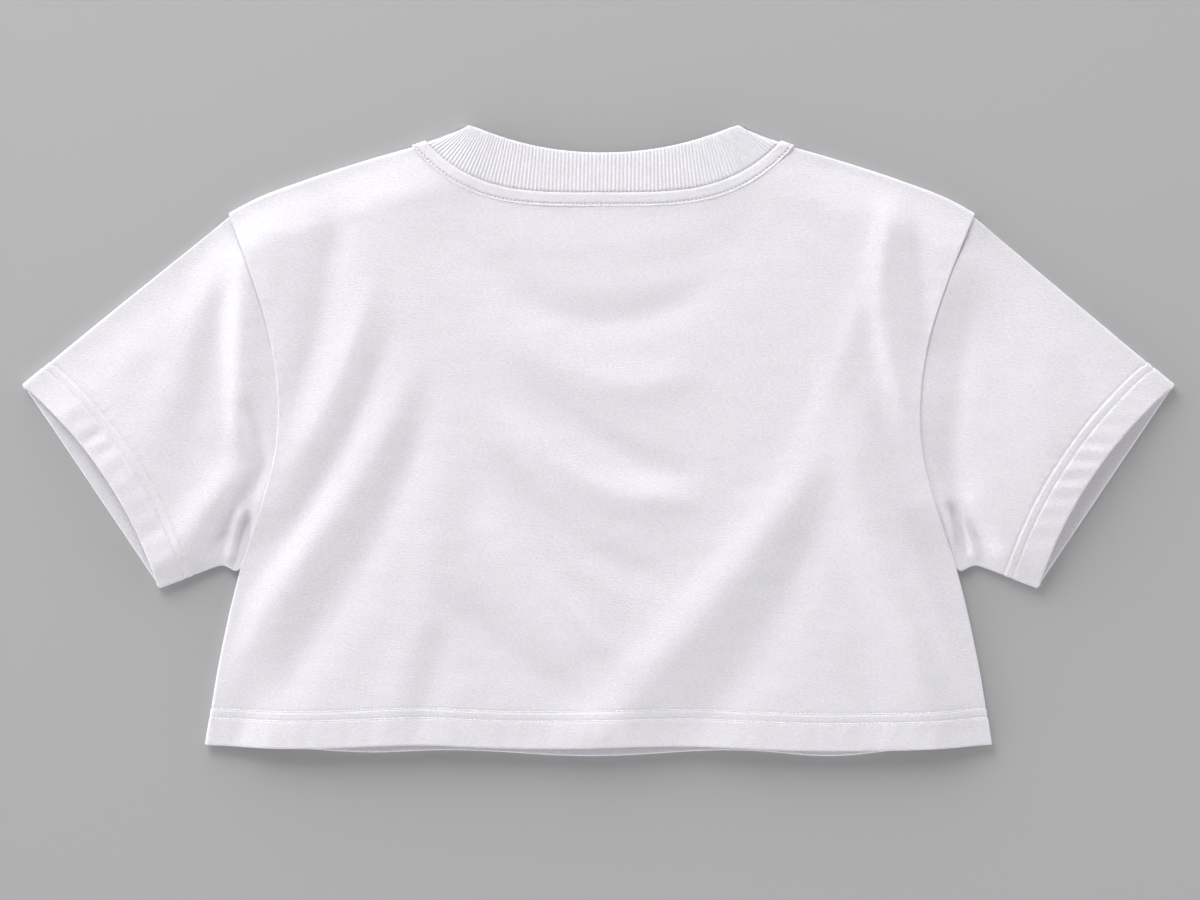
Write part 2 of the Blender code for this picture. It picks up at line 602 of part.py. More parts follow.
def solid(name, points, faces):
    """One closed piece of white cotton."""
    mesh = bpy.data.meshes.new(name)
    mesh.from_pydata((points * MM).tolist(), [], faces)
    shape = bmesh.new()
    shape.from_mesh(mesh)
    bmesh.ops.recalc_face_normals(shape, faces=shape.faces)
    shape.to_mesh(mesh)
    shape.free()
    mesh.shade_smooth()
    mesh.set_sharp_from_angle(angle=np.radians(50.0))
    material = bpy.data.materials.new(name)
    material.use_nodes = True
    shader = material.node_tree.nodes["Principled BSDF"]
    shader.inputs["Base Color"].default_value = (*WHITE, 1.0)
    shader.inputs["Roughness"].default_value = 0.9
    shader.inputs["Metallic"].default_value = 0.0
    mesh.materials.append(material)
    bpy.context.scene.collection.objects.link(bpy.data.objects.new(name, mesh))


def main():
    for old in list(bpy.data.objects):
        bpy.data.objects.remove(old, do_unlink=True)
    panel("back_panel", 1)
    panel("front_panel", -1)
    sleeve("sleeve_left", -1)
    sleeve("sleeve_right", 1)
    collar("collar_rib")
    binding("neck_binding")


main()
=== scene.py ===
"""Looks of the crop top: shells of cloth with their creases, the rib, the sewing, light and camera.

The garment lies on the plane z = 0, with +X across it and +Y from the hem to the collar. Lengths
are in millimetres, and make() turns them into metres. Each shell has the form of the solid that it
stands for, from the same sizes and formulas, on a finer grid and with what is too small for it.
"""

from collections import namedtuple

import bpy
import numpy as np
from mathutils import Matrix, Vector, noise


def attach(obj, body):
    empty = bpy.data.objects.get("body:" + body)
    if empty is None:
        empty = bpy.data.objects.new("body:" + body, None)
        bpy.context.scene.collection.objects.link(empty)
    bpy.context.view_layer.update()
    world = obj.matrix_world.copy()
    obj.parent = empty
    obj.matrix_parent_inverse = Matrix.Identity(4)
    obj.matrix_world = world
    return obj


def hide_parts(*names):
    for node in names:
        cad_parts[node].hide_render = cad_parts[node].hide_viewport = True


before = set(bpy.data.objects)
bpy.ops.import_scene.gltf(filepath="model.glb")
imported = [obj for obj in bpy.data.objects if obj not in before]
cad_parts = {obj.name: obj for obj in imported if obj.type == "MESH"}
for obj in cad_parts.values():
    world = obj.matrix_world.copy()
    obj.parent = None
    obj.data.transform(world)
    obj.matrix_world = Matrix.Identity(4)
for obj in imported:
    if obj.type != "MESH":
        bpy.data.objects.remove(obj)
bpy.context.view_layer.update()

MM = 0.001

# ---- sizes that the solids have too ----

CLOTH = 1.2
SEAM_GAP = 0.3
SEAT = CLOTH + SEAM_GAP
HEM_DEPTH = 23.5
HEM_STEP = 0.4
HEM_EXTRA = 0.7
FOLD_RADIUS = 3.0
LOFT = 11.9
LOFT_FADE = 34.0
SIDE_FADE = 42.0
FOLD_FADE = 24.0
LEAST = 0.8
TIP_X, TIP_Y = 237.3, 144.8
NECK_X, NECK_Y = 112.5, 189.3
PEAK_X, PEAK_Y = 85.0, 200.8
NECK_CURVES = {1: (157.0, 3.7), -1: (89.6, 2.5)}  # middle's y and power at the back and front
RIB_CURVES = {1: (183.0, 2.1), -1: (116.5, 2.2)}
BACK_HEM_Y, FRONT_HEM_Y = -195.3, -195.84
CLOSED_Y, OPEN_Y = -90.0, -77.0
ARMHOLE_RISE = 40.0
LEAN = 3.2
SLEEVE_TOP_Y, SLEEVE_LOW_Y = 142.8, -73.0
CUFF_TOP = (366.2, 35.6)
CUFF_LOW = (279.2, -93.4)
CUFF_BOW = 11.6
CUFF_LOFT = 5.8
ARMHOLE_LOFT = 5.0
ARMHOLE_RADIUS = 1.5
CUFF_RADIUS = 3.0
LAP = 6.0
TUCK_DROP, TUCK_AT, TUCK_WIDTH = 8.0, 4.5, 7.5
TUCK_REACH = 22.0
SEAT_FLAT, SEAT_RUN = 4.0, 12.0
SLEEVE_BLEND = 48.0
FOLD_START = 9.0
SLEEVE_TOP_FADE = 34.0
SLEEVE_LOW_FADE = 13.0
RIB_WALL = 2.6
RIB_HEIGHT = 0.4
RIB_PITCH = 2.52
RIB_EDGE_DROP = 1.5
BINDING_WIDTH = 8.5
BINDING_GAP = 0.35
NECK_LIFT = CLOTH + BINDING_GAP
RIB_STEP = NECK_LIFT - RIB_HEIGHT
NECK_FLAT, NECK_RAMP = 12.0, 36.0
NECK_SAG = 3.5
SAG_START_Y, SAG_RUN_Y = 88.0, 74.0
SAG_END_X, SAG_RUN_X = 135.0, 60.0
HEM_WAVE_RUN = 60.0
FOLD_END = 0.3
FOLD_POINTS = 13
DENSE = 500
NECK_EVERY = 12

Wave = namedtuple("Wave", "x half_width drop rise", defaults=(0.0,))
Fold = namedtuple("Fold", "x0 y0 x1 y1 x2 y2 width end_width height")

BODY_OUTLINE = (  # y, half width
    (-196.0, 250.4), (-133.0, 239.8), (-82.0, 227.8), (-37.5, 212.8), (-8.0, 205.4),
    (20.0, 203.4), (57.8, 207.5), (108.0, 222.4), (TIP_Y, TIP_X),
)
SHOULDER_LINE = (  # x, y
    (60.0, 214.8), (PEAK_X, PEAK_Y), (97.5, 194.4), (NECK_X, NECK_Y),
    (150.0, 178.5), (190.0, 165.5), (222.0, 153.1), (TIP_X, TIP_Y),
)
BACK_HEM = (
    Wave(-255, 34, -2.2),
    Wave(-117, 46, -2.6, 1.6),
    Wave(48, 52, -1.8, 1.2),
    Wave(150, 60, 1.2, 0.4),
    Wave(255, 30, -2.4),
)
FRONT_HEM = (
    Wave(-255, 50, -3.2),
    Wave(-145, 36, 2.4),
    Wave(-5, 62, 4.8),
    Wave(147, 40, 4.8),
    Wave(255, 50, -3.6),
)
HEMS = {1: (BACK_HEM, BACK_HEM_Y), -1: (FRONT_HEM, FRONT_HEM_Y)}

# Ridges and troughs, each a Fold along a curve from its first point to its third
BODY_FOLDS = (
    (-170, 170, -166, 86, -206, -8, 15, 8, -3.0),
    (-142, 118, -152, 40, -212, -44, 8, 10, 1.8),
    (-130, 86, -148, 2, -220, -88, 8, 10, -2.3),
    (-116, 62, -124, -22, -290, -190, 8, 15, 2.2),
    (-106, 52, -116, -60, -275, -240, 9, 21, -4.2),
    (-94, 30, -103, -91, -140, -220, 12, 18, 1.1),
    (-92, 134, -6, 31, 90, 114, 12, 12, -2.0),
    (-58, 52, 0, -10, 72, -28, 9, 10, -2.0),
    (-70, 32, -16, -54, 76, -34, 10, 11, 2.7),
    (-72, 8, -24, -80, 66, -94, 10, 12, -2.3),
    (-78, -30, -44, -98, 24, -152, 10, 12, 3.2),
    (-102, -84, -56, -142, 26, -184, 11, 14, -3.0),
    (192, 172, 157, 84, 212, -20, 10, 7, 2.5),
    (160, 46, 146, -57, 246, -200, 15, 19, 3.1),
    (158, 24, 98, -92, -50, -228, 14, 20, 3.6),
    (142, -18, 134, -112, 14, -236, 10, 24, -3.6),
    (196, 40, 206, -60, 256, -160, 9, 14, -2.0),
)
SLEEVE_FOLDS = (
    (-234, 160, -248, 86, -294, -32, 12, 14, 1.3),
    (-230, 150, -238, 84, -270, -44, 9, 11, -1.2),
    (-228, 118, -227, 50, -229, -34, 9, 9, 3.2),
    (-216, -12, -250, -50, -304, -102, 13, 14, 2.4),
    (-208, -8, -228, -46, -252, -90, 9, 9, -2.4),
    (220, 116, 218, 44, 215, -44, 7, 8, -1.0),
    (232, -14, 258, -52, 296, -102, 11, 13, 1.2),
    (216, -2, 226, -44, 254, -88, 8, 8, -1.6),
)

# ---- what only the shells have, or have otherwise ----

FINE_BODY_FOLDS = (
    (-232, 168, -208, 124, -204, 76, 11, 9, 1.0),
    (-92, 144, 0, 106, 92, 144, 13, 13, 0.8),
    (-86, 98, -7, 3, 76, 50, 12, 12, 1.8),
    (-104, -110, -100, -150, -124, -206, 9, 12, -1.5),
    (174, 128, 158, 50, 122, -30, 9, 11, 1.1),
    (196, 158, 206, 90, 206, 22, 9, 8, -2.0),
    (158, -124, 170, -156, 182, -196, 9, 12, -0.9),
    (172, 44, 188, -50, 242, -168, 9, 13, -1.9),
)
FINE_SLEEVE_FOLDS = (
    (-272, 98, -306, 54, -326, 0, 12, 14, 0.7),
    (-302, 62, -322, 24, -322, -22, 12, 12, -0.9),
    (238, 136, 248, 90, 250, 34, 6, 8, -0.5),
    (238, 114, 226, 36, 223, -34, 9, 8, -1.9),
    (264, 56, 280, 20, 290, -18, 10, 10, 0.6),
    (298, 66, 312, 24, 312, -20, 12, 12, -0.6),
)
# Creases where the cloth bunches under the arms
UNDERARM_FOLDS = (
    (-222, -8, -248, -34, -262, -96, 13, 15, 3.0),
    (-226, 30, -218, 2, -206, -34, 5, 5, -2.0),
    (-217, -22, -233, -40, -252, -78, 5, 7, -2.4),
    (-224, -38, -233, -58, -236, -88, 3.4, 4, 3.2),
    (-219, -42, -227, -60, -226, -84, 3.4, 4.2, -4.6),
    (-246, -76, -234, -78, -218, -74, 2.2, 2.2, -1.8),
    (226, -28, 248, -50, 270, -88, 9, 10, 2.2),
    (218, -38, 234, -52, 254, -72, 4, 6, -1.8),
    (216, -34, 226, -56, 225, -84, 3.2, 3.6, 1.8),
    (219, -36, 234, -58, 231, -84, 3.2, 3.8, -4.4),
    (224, -42, 240, -60, 238, -88, 4, 5, 2.4),
    (218, -74, 236, -79, 252, -81, 2.2, 2.2, -1.8),
)
FRONT_FOLDS = (
    (-150, 60, -164, -20, -178, -80, 14, 14, 0.7),
    (-96, -30, -120, -90, -168, -140, 13, 13, 0.6),
    (150, 70, 120, -20, 40, -130, 16, 16, 0.8),
    (60, -60, 110, -110, 168, -138, 13, 13, 0.6),
    (-60, 20, 0, -10, 60, 10, 14, 14, 0.5),
)

HEM_RUN = 1.6  # in which the folded hem ends, 3.0 in the solids
NECK_GAP = 0.15  # between the collar and the binding's edge, 0.5 in the solids
FOLD_POWER = 3.0  # of the section of a fold at the edge, 2 in the solids, where it is round
CREASE = 1.12  # how much stronger the back's and the sleeves' creases are than the solids'

SEWN_ROWS = (17.5, HEM_DEPTH)  # the two rows of stitches, from the edge
NECK_ROW = 6.8  # the neck's row of stitches, from the seam
BESIDE = 0.4  # from a row to the line on its left
HEM_PRESS = 0.27  # how far the cloth is pressed in between the rows, most at the lower one
PRESS_LEAD, PRESS_RUN = 0.8, 1.2  # where that starts before the lower row, and in what run
ROW_PRESS, ROW_WIDTH = 0.26, 0.8  # the same along a row
HEM_PITCH, CUFF_PITCH, NECK_PITCH = 2.7, 2.6, 2.6
HEM_GAP, CUFF_GAP, NECK_STITCH_GAP = 0.14, 0.3, 0.5  # shares of the pitch that lie bare
THREAD = 0.72  # thickness of a stitch
EDGE_ROLL, EDGE_ROLL_SHARE = 0.75, 0.9  # rounding of the body's edge over the sleeve

STEP = 2.5  # of the back's and the sleeves' grids
FRONT_STEP = 4.0
FINE_STEP = 0.6  # across a row of stitches, and below the back's binding


def smooth(t):
    """0 below 0, 1 above 1, and an S between."""
    t = np.clip(t, 0.0, 1.0)
    return t * t * (3.0 - 2.0 * t)


def mix(a, b, t):
    return a + (b - a) * t


def unit(v):
    return v / np.linalg.norm(v, axis=-1, keepdims=True)


def through(rows, at):
    """The smooth curve through a table's rows, and level past its ends."""
    k, v = np.array(rows, float).T
    slope = np.gradient(v, k)
    at = np.clip(at, k[0], k[-1])
    i = np.clip(np.searchsorted(k, at) - 1, 0, len(k) - 2)
    run = k[i + 1] - k[i]
    t = (at - k[i]) / run
    start = mix(v[i], v[i + 1], smooth(t))
    return start + run * t * (1 - t) * ((1 - t) * slope[i] - t * slope[i + 1])


def half_width(y):
    return through(BODY_OUTLINE, y)


def shoulder_y(x):
    return through(SHOULDER_LINE, np.abs(x))


def lean(y):
    """How far the garment at this height lies to the right of its hem."""
    return LEAN * np.clip((y - OPEN_Y) / (PEAK_Y - OPEN_Y), 0.0, 1.0) ** 2


def waves(table, x, what):
    return sum(getattr(w, what) * np.exp(-(((x - w.x) / w.half_width) ** 2)) for w in table)


def nearest(x, y, line):
    """Distance in plan from each point to a line of points, and the line's share at that place."""
    start, run = line[:-1], np.diff(line, axis=0)
    px, py = x[..., None] - start[:, 0], y[..., None] - start[:, 1]
    t = np.clip((px * run[:, 0] + py * run[:, 1]) / (run**2).sum(1), 0.0, 1.0)
    apart = np.hypot(px - t * run[:, 0], py - t * run[:, 1])
    near = apart.argmin(-1)
    share = np.take_along_axis(t, near[..., None], -1)[..., 0] + near
    return apart.min(-1), share / len(run)


def fold_heights(folds, x, y):
    """Sum of the soft ridges and troughs."""
    t = np.linspace(0.0, 1.0, FOLD_POINTS)[:, None]
    height = np.zeros_like(x)
    for f in map(Fold._make, folds):
        ends = np.array([(f.x0, f.y0), (f.x1, f.y1), (f.x2, f.y2)], float)
        line = (1 - t) ** 2 * ends[0] + 2 * t * (1 - t) * ends[1] + t**2 * ends[2]
        apart, share = nearest(x, y, line)
        fade = smooth(share / FOLD_END) * smooth((1 - share) / FOLD_END)
        width = mix(f.width, f.end_width, share)
        fade = fade * width / max(f.width, f.end_width)
        height += f.height * np.exp(-((apart / width) ** 2)) * fade
    return height


def shoulder_fold(x, y):
    """Distance in from the shoulder's fold, and the direction straight in from it."""
    step = 1.0
    low, high = np.abs(x) - step, np.minimum(np.abs(x) + step, TIP_X)
    slope = (shoulder_y(high) - shoulder_y(low)) / (high - low)
    inward = unit(np.stack([np.sign(x) * slope, -np.ones_like(slope)], -1))
    return (shoulder_y(x) - y) * -inward[..., 1], inward


def neck_line(face, across=0.0):
    """Quarter of a line round the neck this far out from the seam, from middle to shoulder."""
    low_y, power = NECK_CURVES[face]
    end_x = NECK_X + across
    x = end_x * np.sin(np.linspace(0.0, np.pi / 2, DENSE))
    return x, low_y - across + (shoulder_y(end_x) - low_y + across) * (x / end_x) ** power


def from_neck(x, y, face):
    """Distance from one face's neck seam, and the run along it from its middle."""
    line = np.stack(neck_line(face), -1)[::NECK_EVERY]
    apart, share = nearest(np.abs(x), y, line)
    return apart, share * run_along(line)[-1] * np.sign(x)


def neck_lift(x, y, face):
    """How far a panel is raised beside its neck seam, where the front's binding lies beneath."""
    apart, _ = from_neck(x, y, face)
    return NECK_LIFT * (1.0 - smooth((apart - NECK_FLAT) / NECK_RAMP))


def back_rise(x, y):
    """How far the back panel stands above the height of its folds."""
    from_side = half_width(y) - np.abs(x)
    from_shoulder, _ = shoulder_fold(x, y)
    beside_seam = smooth((OPEN_Y + ARMHOLE_RISE - y) / ARMHOLE_RISE)
    inside = smooth(from_shoulder / LOFT_FADE)
    inside = inside * (1.0 - beside_seam * (1.0 - smooth(from_side / SIDE_FADE)))
    for_folds = smooth(from_shoulder / FOLD_FADE)
    for_folds = for_folds * (1.0 - beside_seam * (1.0 - smooth(from_side / FOLD_FADE)))
    wave = waves(BACK_HEM, x, "rise") * (1.0 - smooth((y - BACK_HEM_Y) / HEM_WAVE_RUN))
    sag = NECK_SAG * smooth((y - SAG_START_Y) / SAG_RUN_Y)
    sag = sag * smooth((SAG_END_X - np.abs(x)) / SAG_RUN_X)
    rise = inside * (LOFT - 2 * FOLD_RADIUS + wave - sag)
    rise = rise + for_folds * CREASE * fold_heights(BODY_FOLDS + FINE_BODY_FOLDS, x, y)
    return (rise + np.hypot(rise, LEAST) - LEAST) / 2


def folded(x, y, face, depth, radius, middle, gap=0.0, closed=0.0):
    """Points of cloth that lies at these places and turns over at the shoulder.

    Face 1 is the back and -1 the front. depth counts inwards from the outer face, middle is the
    height of the fold's axis, gap parts the faces there, and closed is 1 where the side is shut.
    """
    from_shoulder, inward = shoulder_fold(x, y)
    shoulder_cos = np.clip(1.0 - from_shoulder / radius, 0.0, 1.0)
    side_cos = closed * np.clip(1.0 - (half_width(y) - np.abs(x)) / radius, 0.0, 1.0)
    sine = np.clip(1.0 - side_cos**FOLD_POWER - shoulder_cos**FOLD_POWER, 0.0, 1.0)
    sine = sine ** (1.0 / FOLD_POWER)
    z = middle + face * (gap / 2 + (radius - gap / 2 - depth) * sine)
    px = x + depth * (shoulder_cos * inward[..., 0] - side_cos * np.sign(x))
    py = y + depth * shoulder_cos * inward[..., 1]
    return np.stack([px + lean(py), py, z], -1)


def body_surface(x, y, face, depth, gap=SEAM_GAP):
    """Points of the body's cloth at these places."""
    closed = smooth((OPEN_Y - y) / (OPEN_Y - CLOSED_Y))
    middle = FOLD_RADIUS + neck_lift(x, y, face)
    points = folded(x, y, face, depth, FOLD_RADIUS, middle, gap, closed)
    if face > 0:
        points[..., 2] += back_rise(x, y)
    else:
        points[..., 2] += fold_heights(FRONT_FOLDS, x, y)
    return points


def run_along(points):
    """Distance along a line of points."""
    step = np.linalg.norm(np.diff(points, axis=0), axis=-1)
    return np.concatenate([[0.0], np.cumsum(step)])


# ---- fine relief ----

DRIFT, DRIFT_RUNS = 0.6, (0.62, 2.3)  # unevenness of a wave's spacing, and its runs in pitches
SWELL, SWELL_RUNS = 0.2, (0.47, 1.9)  # the same of its height
SLACK_WAVES = ((17.0, 14.0, 1.0), (7.0, 6.0, 0.4))  # size across, size along, share
HEM_PUCKER = 0.24  # height of the puckers on the body's hems
PUCKER_PITCH, PUCKER_START = 14.0, 6.0  # and the run in which they rise from the edge
PUCKER_LEAD, PUCKER_END = 5.5, 7.0  # how far before the lower row they end, and in what run
ABOVE_SHARE, ABOVE_PITCH = 0.5, 7.0  # of the smaller ones above the hem
ABOVE_LEAD, ABOVE_START, ABOVE_END = 1.0, 2.0, 12.0  # the same for these, at the upper row

Pucker = namedtuple("Pucker", "height pitch turn start fade")


def uneven(run, pitch, turn):
    """A wave along a seam with about this pitch, uneven in height and in spacing."""
    short, long = (run / (share * pitch) for share in DRIFT_RUNS)
    drift = DRIFT * np.sin(short + turn) * np.sin(long + 2 * turn)
    short, long = (run / (share * pitch) for share in SWELL_RUNS)
    swell = 1.0 - SWELL + SWELL * np.sin(short + 3 * turn) * np.sin(long)
    return np.sin(2 * np.pi * run / pitch + drift) * swell


def puckers(kind, run, distance):
    """Height of the small waves that a seam draws up, this far along it and from it."""
    wave = kind.height * uneven(run, kind.pitch, kind.turn)
    return wave * np.exp(-distance / kind.fade) * smooth(distance / kind.start)


def slack(x, y, seed):
    """The cloth's own unevenness, from about -1 to 1."""

    def rough(a, b):
        parts = ((Vector((a / wide, b / long, seed)), part) for wide, long, part in SLACK_WAVES)
        return sum(part * noise.noise(place) for place, part in parts)

    return np.array([rough(a, b) for a, b in zip(x.ravel(), y.ravel())]).reshape(x.shape)


def hem_press(distance):
    """How far the sewing presses the outer face in, at this distance from the hem's edge."""
    low, high = SEWN_ROWS
    start = smooth((distance - low + PRESS_LEAD) / PRESS_RUN)
    between = start * np.clip((high - distance) / (high - low), 0.0, 1.0)
    rows = sum(np.exp(-(((distance - row) / ROW_WIDTH) ** 2)) for row in SEWN_ROWS)
    return HEM_PRESS * between + ROW_PRESS * rows


def in_hem(distance):
    """1 in the folded hem, 0 in the single cloth."""
    return 1.0 - smooth((distance - HEM_DEPTH + HEM_RUN) / HEM_RUN)


def round_off(distance, thickness):
    """How far each face turns in towards the other at an edge, this far from it."""
    radius = thickness / 2
    past = np.clip(radius - distance, 0.0, radius)
    return radius - np.sqrt(radius**2 - past**2)


def hem_puckers(distance, run, turn, height=HEM_PUCKER):
    """Height of the small waves that the sewing draws up on the hem and just above it."""
    low, high = SEWN_ROWS
    below = smooth(distance / PUCKER_START)
    below = below * (1.0 - smooth((distance - low + PUCKER_LEAD) / PUCKER_END))
    above = smooth((distance - high + ABOVE_LEAD) / ABOVE_START)
    above = above * (1.0 - smooth((distance - high) / ABOVE_END))
    wave = uneven(run, PUCKER_PITCH, turn) * below
    return height * (wave + ABOVE_SHARE * uneven(run, ABOVE_PITCH, turn + 1.0) * above)


# ---- meshes ----


def wrapped(index):
    """A grid of point numbers whose last column meets its first."""
    return np.concatenate([index, index[..., :1]], axis=-1)


def quads(index):
    corners = [index[:-1, :-1], index[:-1, 1:], index[1:, 1:], index[1:, :-1]]
    return np.stack(corners, -1).reshape(-1, 4)


def wall(outer, inner, tube=False):
    """Points and faces of the wall between two grids of points. A tube's columns run all round."""
    points = np.concatenate([outer.reshape(-1, 3), inner.reshape(-1, 3)])
    index = np.arange(len(points)).reshape(2, *outer.shape[:2])
    if tube:
        index = wrapped(index)
    faces = [quads(index[0]), quads(index[1])[:, ::-1]]
    faces += [quads(index[::-1, 0]), quads(index[:, -1])]
    if not tube:
        faces += [quads(index[:, :, 0]), quads(index[::-1, :, -1])]
    return points, np.concatenate(faces)


def placed(name, data):
    thing = bpy.data.objects.new(name, data)
    bpy.context.scene.collection.objects.link(thing)
    return thing


def make(name, points, faces, material, place=None):
    """A mesh that rides on the garment. place holds where its points lie on the flat cloth."""
    mesh = bpy.data.meshes.new(name)
    mesh.from_pydata((points * MM).tolist(), [], np.asarray(faces).tolist())
    if place is not None:
        layer = mesh.uv_layers.new(name="cloth")
        corners = np.array([loop.vertex_index for loop in mesh.loops])
        layer.data.foreach_set("uv", place[corners].astype(np.float32).ravel())
    mesh.update()
    mesh.shade_smooth()
    mesh.materials.append(material)
    piece = placed(name, mesh)
    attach(piece, "root")
    return piece


def shell(name, node, outer, inner, place, material, flip, tube=False):
    """The wall between two grids in a solid's place. place is where one face lies, as for make."""
    points, faces = wall(outer, inner, tube)
    places = np.tile(place.reshape(-1, 2), (2, 1))
    piece = make(name, points, faces[:, ::-1] if flip else faces, material, places)
    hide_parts(node)
    return piece


# ---- materials ----

COTTON = (0.875, 0.855, 0.905)
COTTON_ROUGH, COTTON_SHEEN = 0.88, 0.18
KNIT, RIB_KNIT = 0.8, 0.63  # pitch of the knitted loops across the cloth
COURSE = 0.8  # pitch of the loops along it, as a share of that
ARM_SLANT, ARM_SHARE = 1.4, 0.35  # of the loops' arms, against their columns
KNIT_BUMP = {"Strength": 0.3, "Distance": 0.0002}
NAP_BUMP = {"Strength": 0.8, "Distance": 0.0006}
NAP_SCALE = (0.35, 0.9, 1.0)  # of all three noises, across and along the cloth
NAP = {"Scale": 1.0, "Detail": 5.0, "Roughness": 0.65}
GRAIN = {"Scale": 1.5, "Detail": 2.0}
BLOTCH = {"Scale": 0.12, "Detail": 3.0}
NAP_SHARE, GRAIN_SHARE, BLOTCH_SHARE = 0.35, 0.5, 0.15  # of the unevenness of tone
CONTRAST = 2.6  # of that unevenness
DARKER, LIGHTER = 0.885, 1.1  # its ends, against the colour itself
ROUGH_LEAST, ROUGH_RANGE = 0.78, 0.2  # of the nap's roughness
THREAD_COLOUR, THREAD_ROUGH, THREAD_SHEEN = (0.95, 0.95, 0.97), 0.5, 0.05
FLOOR, FLOOR_DARKER, FLOOR_ROUGH = (0.49, 0.49, 0.495), (0.46, 0.46, 0.465), 0.9


def shader(name, colour, roughness, sheen):
    """A new material, its nodes and its shader."""
    material = bpy.data.materials.new(name)
    material.use_nodes = True
    tree = material.node_tree
    main = tree.nodes["Principled BSDF"]
    put(tree, main, Base_Color=(*colour, 1.0), Roughness=roughness, Sheen_Weight=sheen)
    put(tree, main, Sheen_Roughness=0.6, Specular_IOR_Level=0.25)
    return material, tree, main


def put(tree, node, **inputs):
    """Sets these sockets, by name or by number, to a value or to another socket."""
    for key, value in inputs.items():
        socket = node.inputs[int(key[1:]) if key[1:].isdigit() else key.replace("_", " ")]
        if isinstance(value, bpy.types.NodeSocket):
            tree.links.new(value, socket)
        else:
            socket.default_value = value
    return node


def add(tree, kind, **inputs):
    """A new shader node with these sockets set."""
    return put(tree, tree.nodes.new("ShaderNode" + kind), **inputs)


def sums(tree, operation, a, b=0.0, c=0.0):
    """The output of a Math node."""
    node = add(tree, "Math", i0=a, i1=b, i2=c)
    node.operation = operation
    return node.outputs[0]


def blend(tree, share, start, stop):
    """The colour this share of the way from one colour to another."""
    node = add(tree, "Mix", Factor=share)
    node.data_type = "RGBA"
    return put(tree, node, A=(*start, 1.0), B=(*stop, 1.0)).outputs["Result"]


def jersey(name, knit=KNIT):
    """Knitted cotton: loops of this pitch in millimetres, a soft nap and a little unevenness."""
    material, tree, main = shader(name, COTTON, COTTON_ROUGH, COTTON_SHEEN)
    place = add(tree, "UVMap")
    place.uv_map = "cloth"
    flat = place.outputs["UV"]
    split = add(tree, "SeparateXYZ", Vector=flat)
    across = sums(tree, "PINGPONG", sums(tree, "DIVIDE", split.outputs["X"], knit), 0.5)
    along = sums(tree, "DIVIDE", split.outputs["Y"], COURSE * knit)
    arms = sums(tree, "MULTIPLY_ADD", across, ARM_SLANT, along)
    loops = sums(tree, "SINE", sums(tree, "MULTIPLY", arms, 2 * np.pi))
    wales = sums(tree, "SINE", sums(tree, "MULTIPLY", across, 2 * np.pi))
    knitted = sums(tree, "MULTIPLY_ADD", loops, ARM_SHARE, wales)
    fine = add(tree, "Bump", Height=knitted, **KNIT_BUMP)
    scaled = add(tree, "Mapping", Vector=flat, Scale=NAP_SCALE).outputs[0]
    nap, grain, blotch = (
        add(tree, "TexNoise", Vector=scaled, **kind).outputs["Fac"]
        for kind in (NAP, GRAIN, BLOTCH)
    )
    soft = add(tree, "Bump", Height=nap, Normal=fine.outputs[0], **NAP_BUMP)
    shade = sums(tree, "MULTIPLY", grain, GRAIN_SHARE)
    shade = sums(tree, "MULTIPLY_ADD", nap, NAP_SHARE, shade)
    shade = sums(tree, "MULTIPLY_ADD", blotch, BLOTCH_SHARE, shade)
    shade = sums(tree, "MULTIPLY_ADD", shade, CONTRAST, 0.5 - 0.5 * CONTRAST)
    darker, lighter = ([min(1.0, c * k) for c in COTTON] for k in (DARKER, LIGHTER))
    tone = blend(tree, shade, darker, lighter)
    rough = sums(tree, "MULTIPLY_ADD", nap, ROUGH_RANGE, ROUGH_LEAST)
    put(tree, main, Base_Color=tone, Roughness=rough, Normal=soft.outputs[0])
    return material


def thread_material():
    """Polyester thread: a little brighter and smoother than the cotton."""
    material, tree, main = shader("thread", THREAD_COLOUR, THREAD_ROUGH, THREAD_SHEEN)
    ply = add(tree, "TexNoise", Scale=2500.0, Detail=2.0).outputs["Fac"]
    bump = add(tree, "Bump", Strength=0.3, Distance=0.0001, Height=ply)
    put(tree, main, Normal=bump.outputs[0])
    return material


def floor_material():
    material, tree, main = shader("backdrop", FLOOR, FLOOR_ROUGH, 0.0)
    grain = add(tree, "TexNoise", Scale=6.0, Detail=3.0).outputs["Fac"]
    put(tree, main, Base_Color=blend(tree, grain, FLOOR_DARKER, FLOOR))
    return material


# ---- sewing ----

STITCH_RISE, STITCH_ARCH = 0.1, 0.5  # in threads, of a stitch's ends and its middle over them
STITCH_END, STITCH_FLAT = 0.6, 0.55  # thickness of its ends, and its height against its width


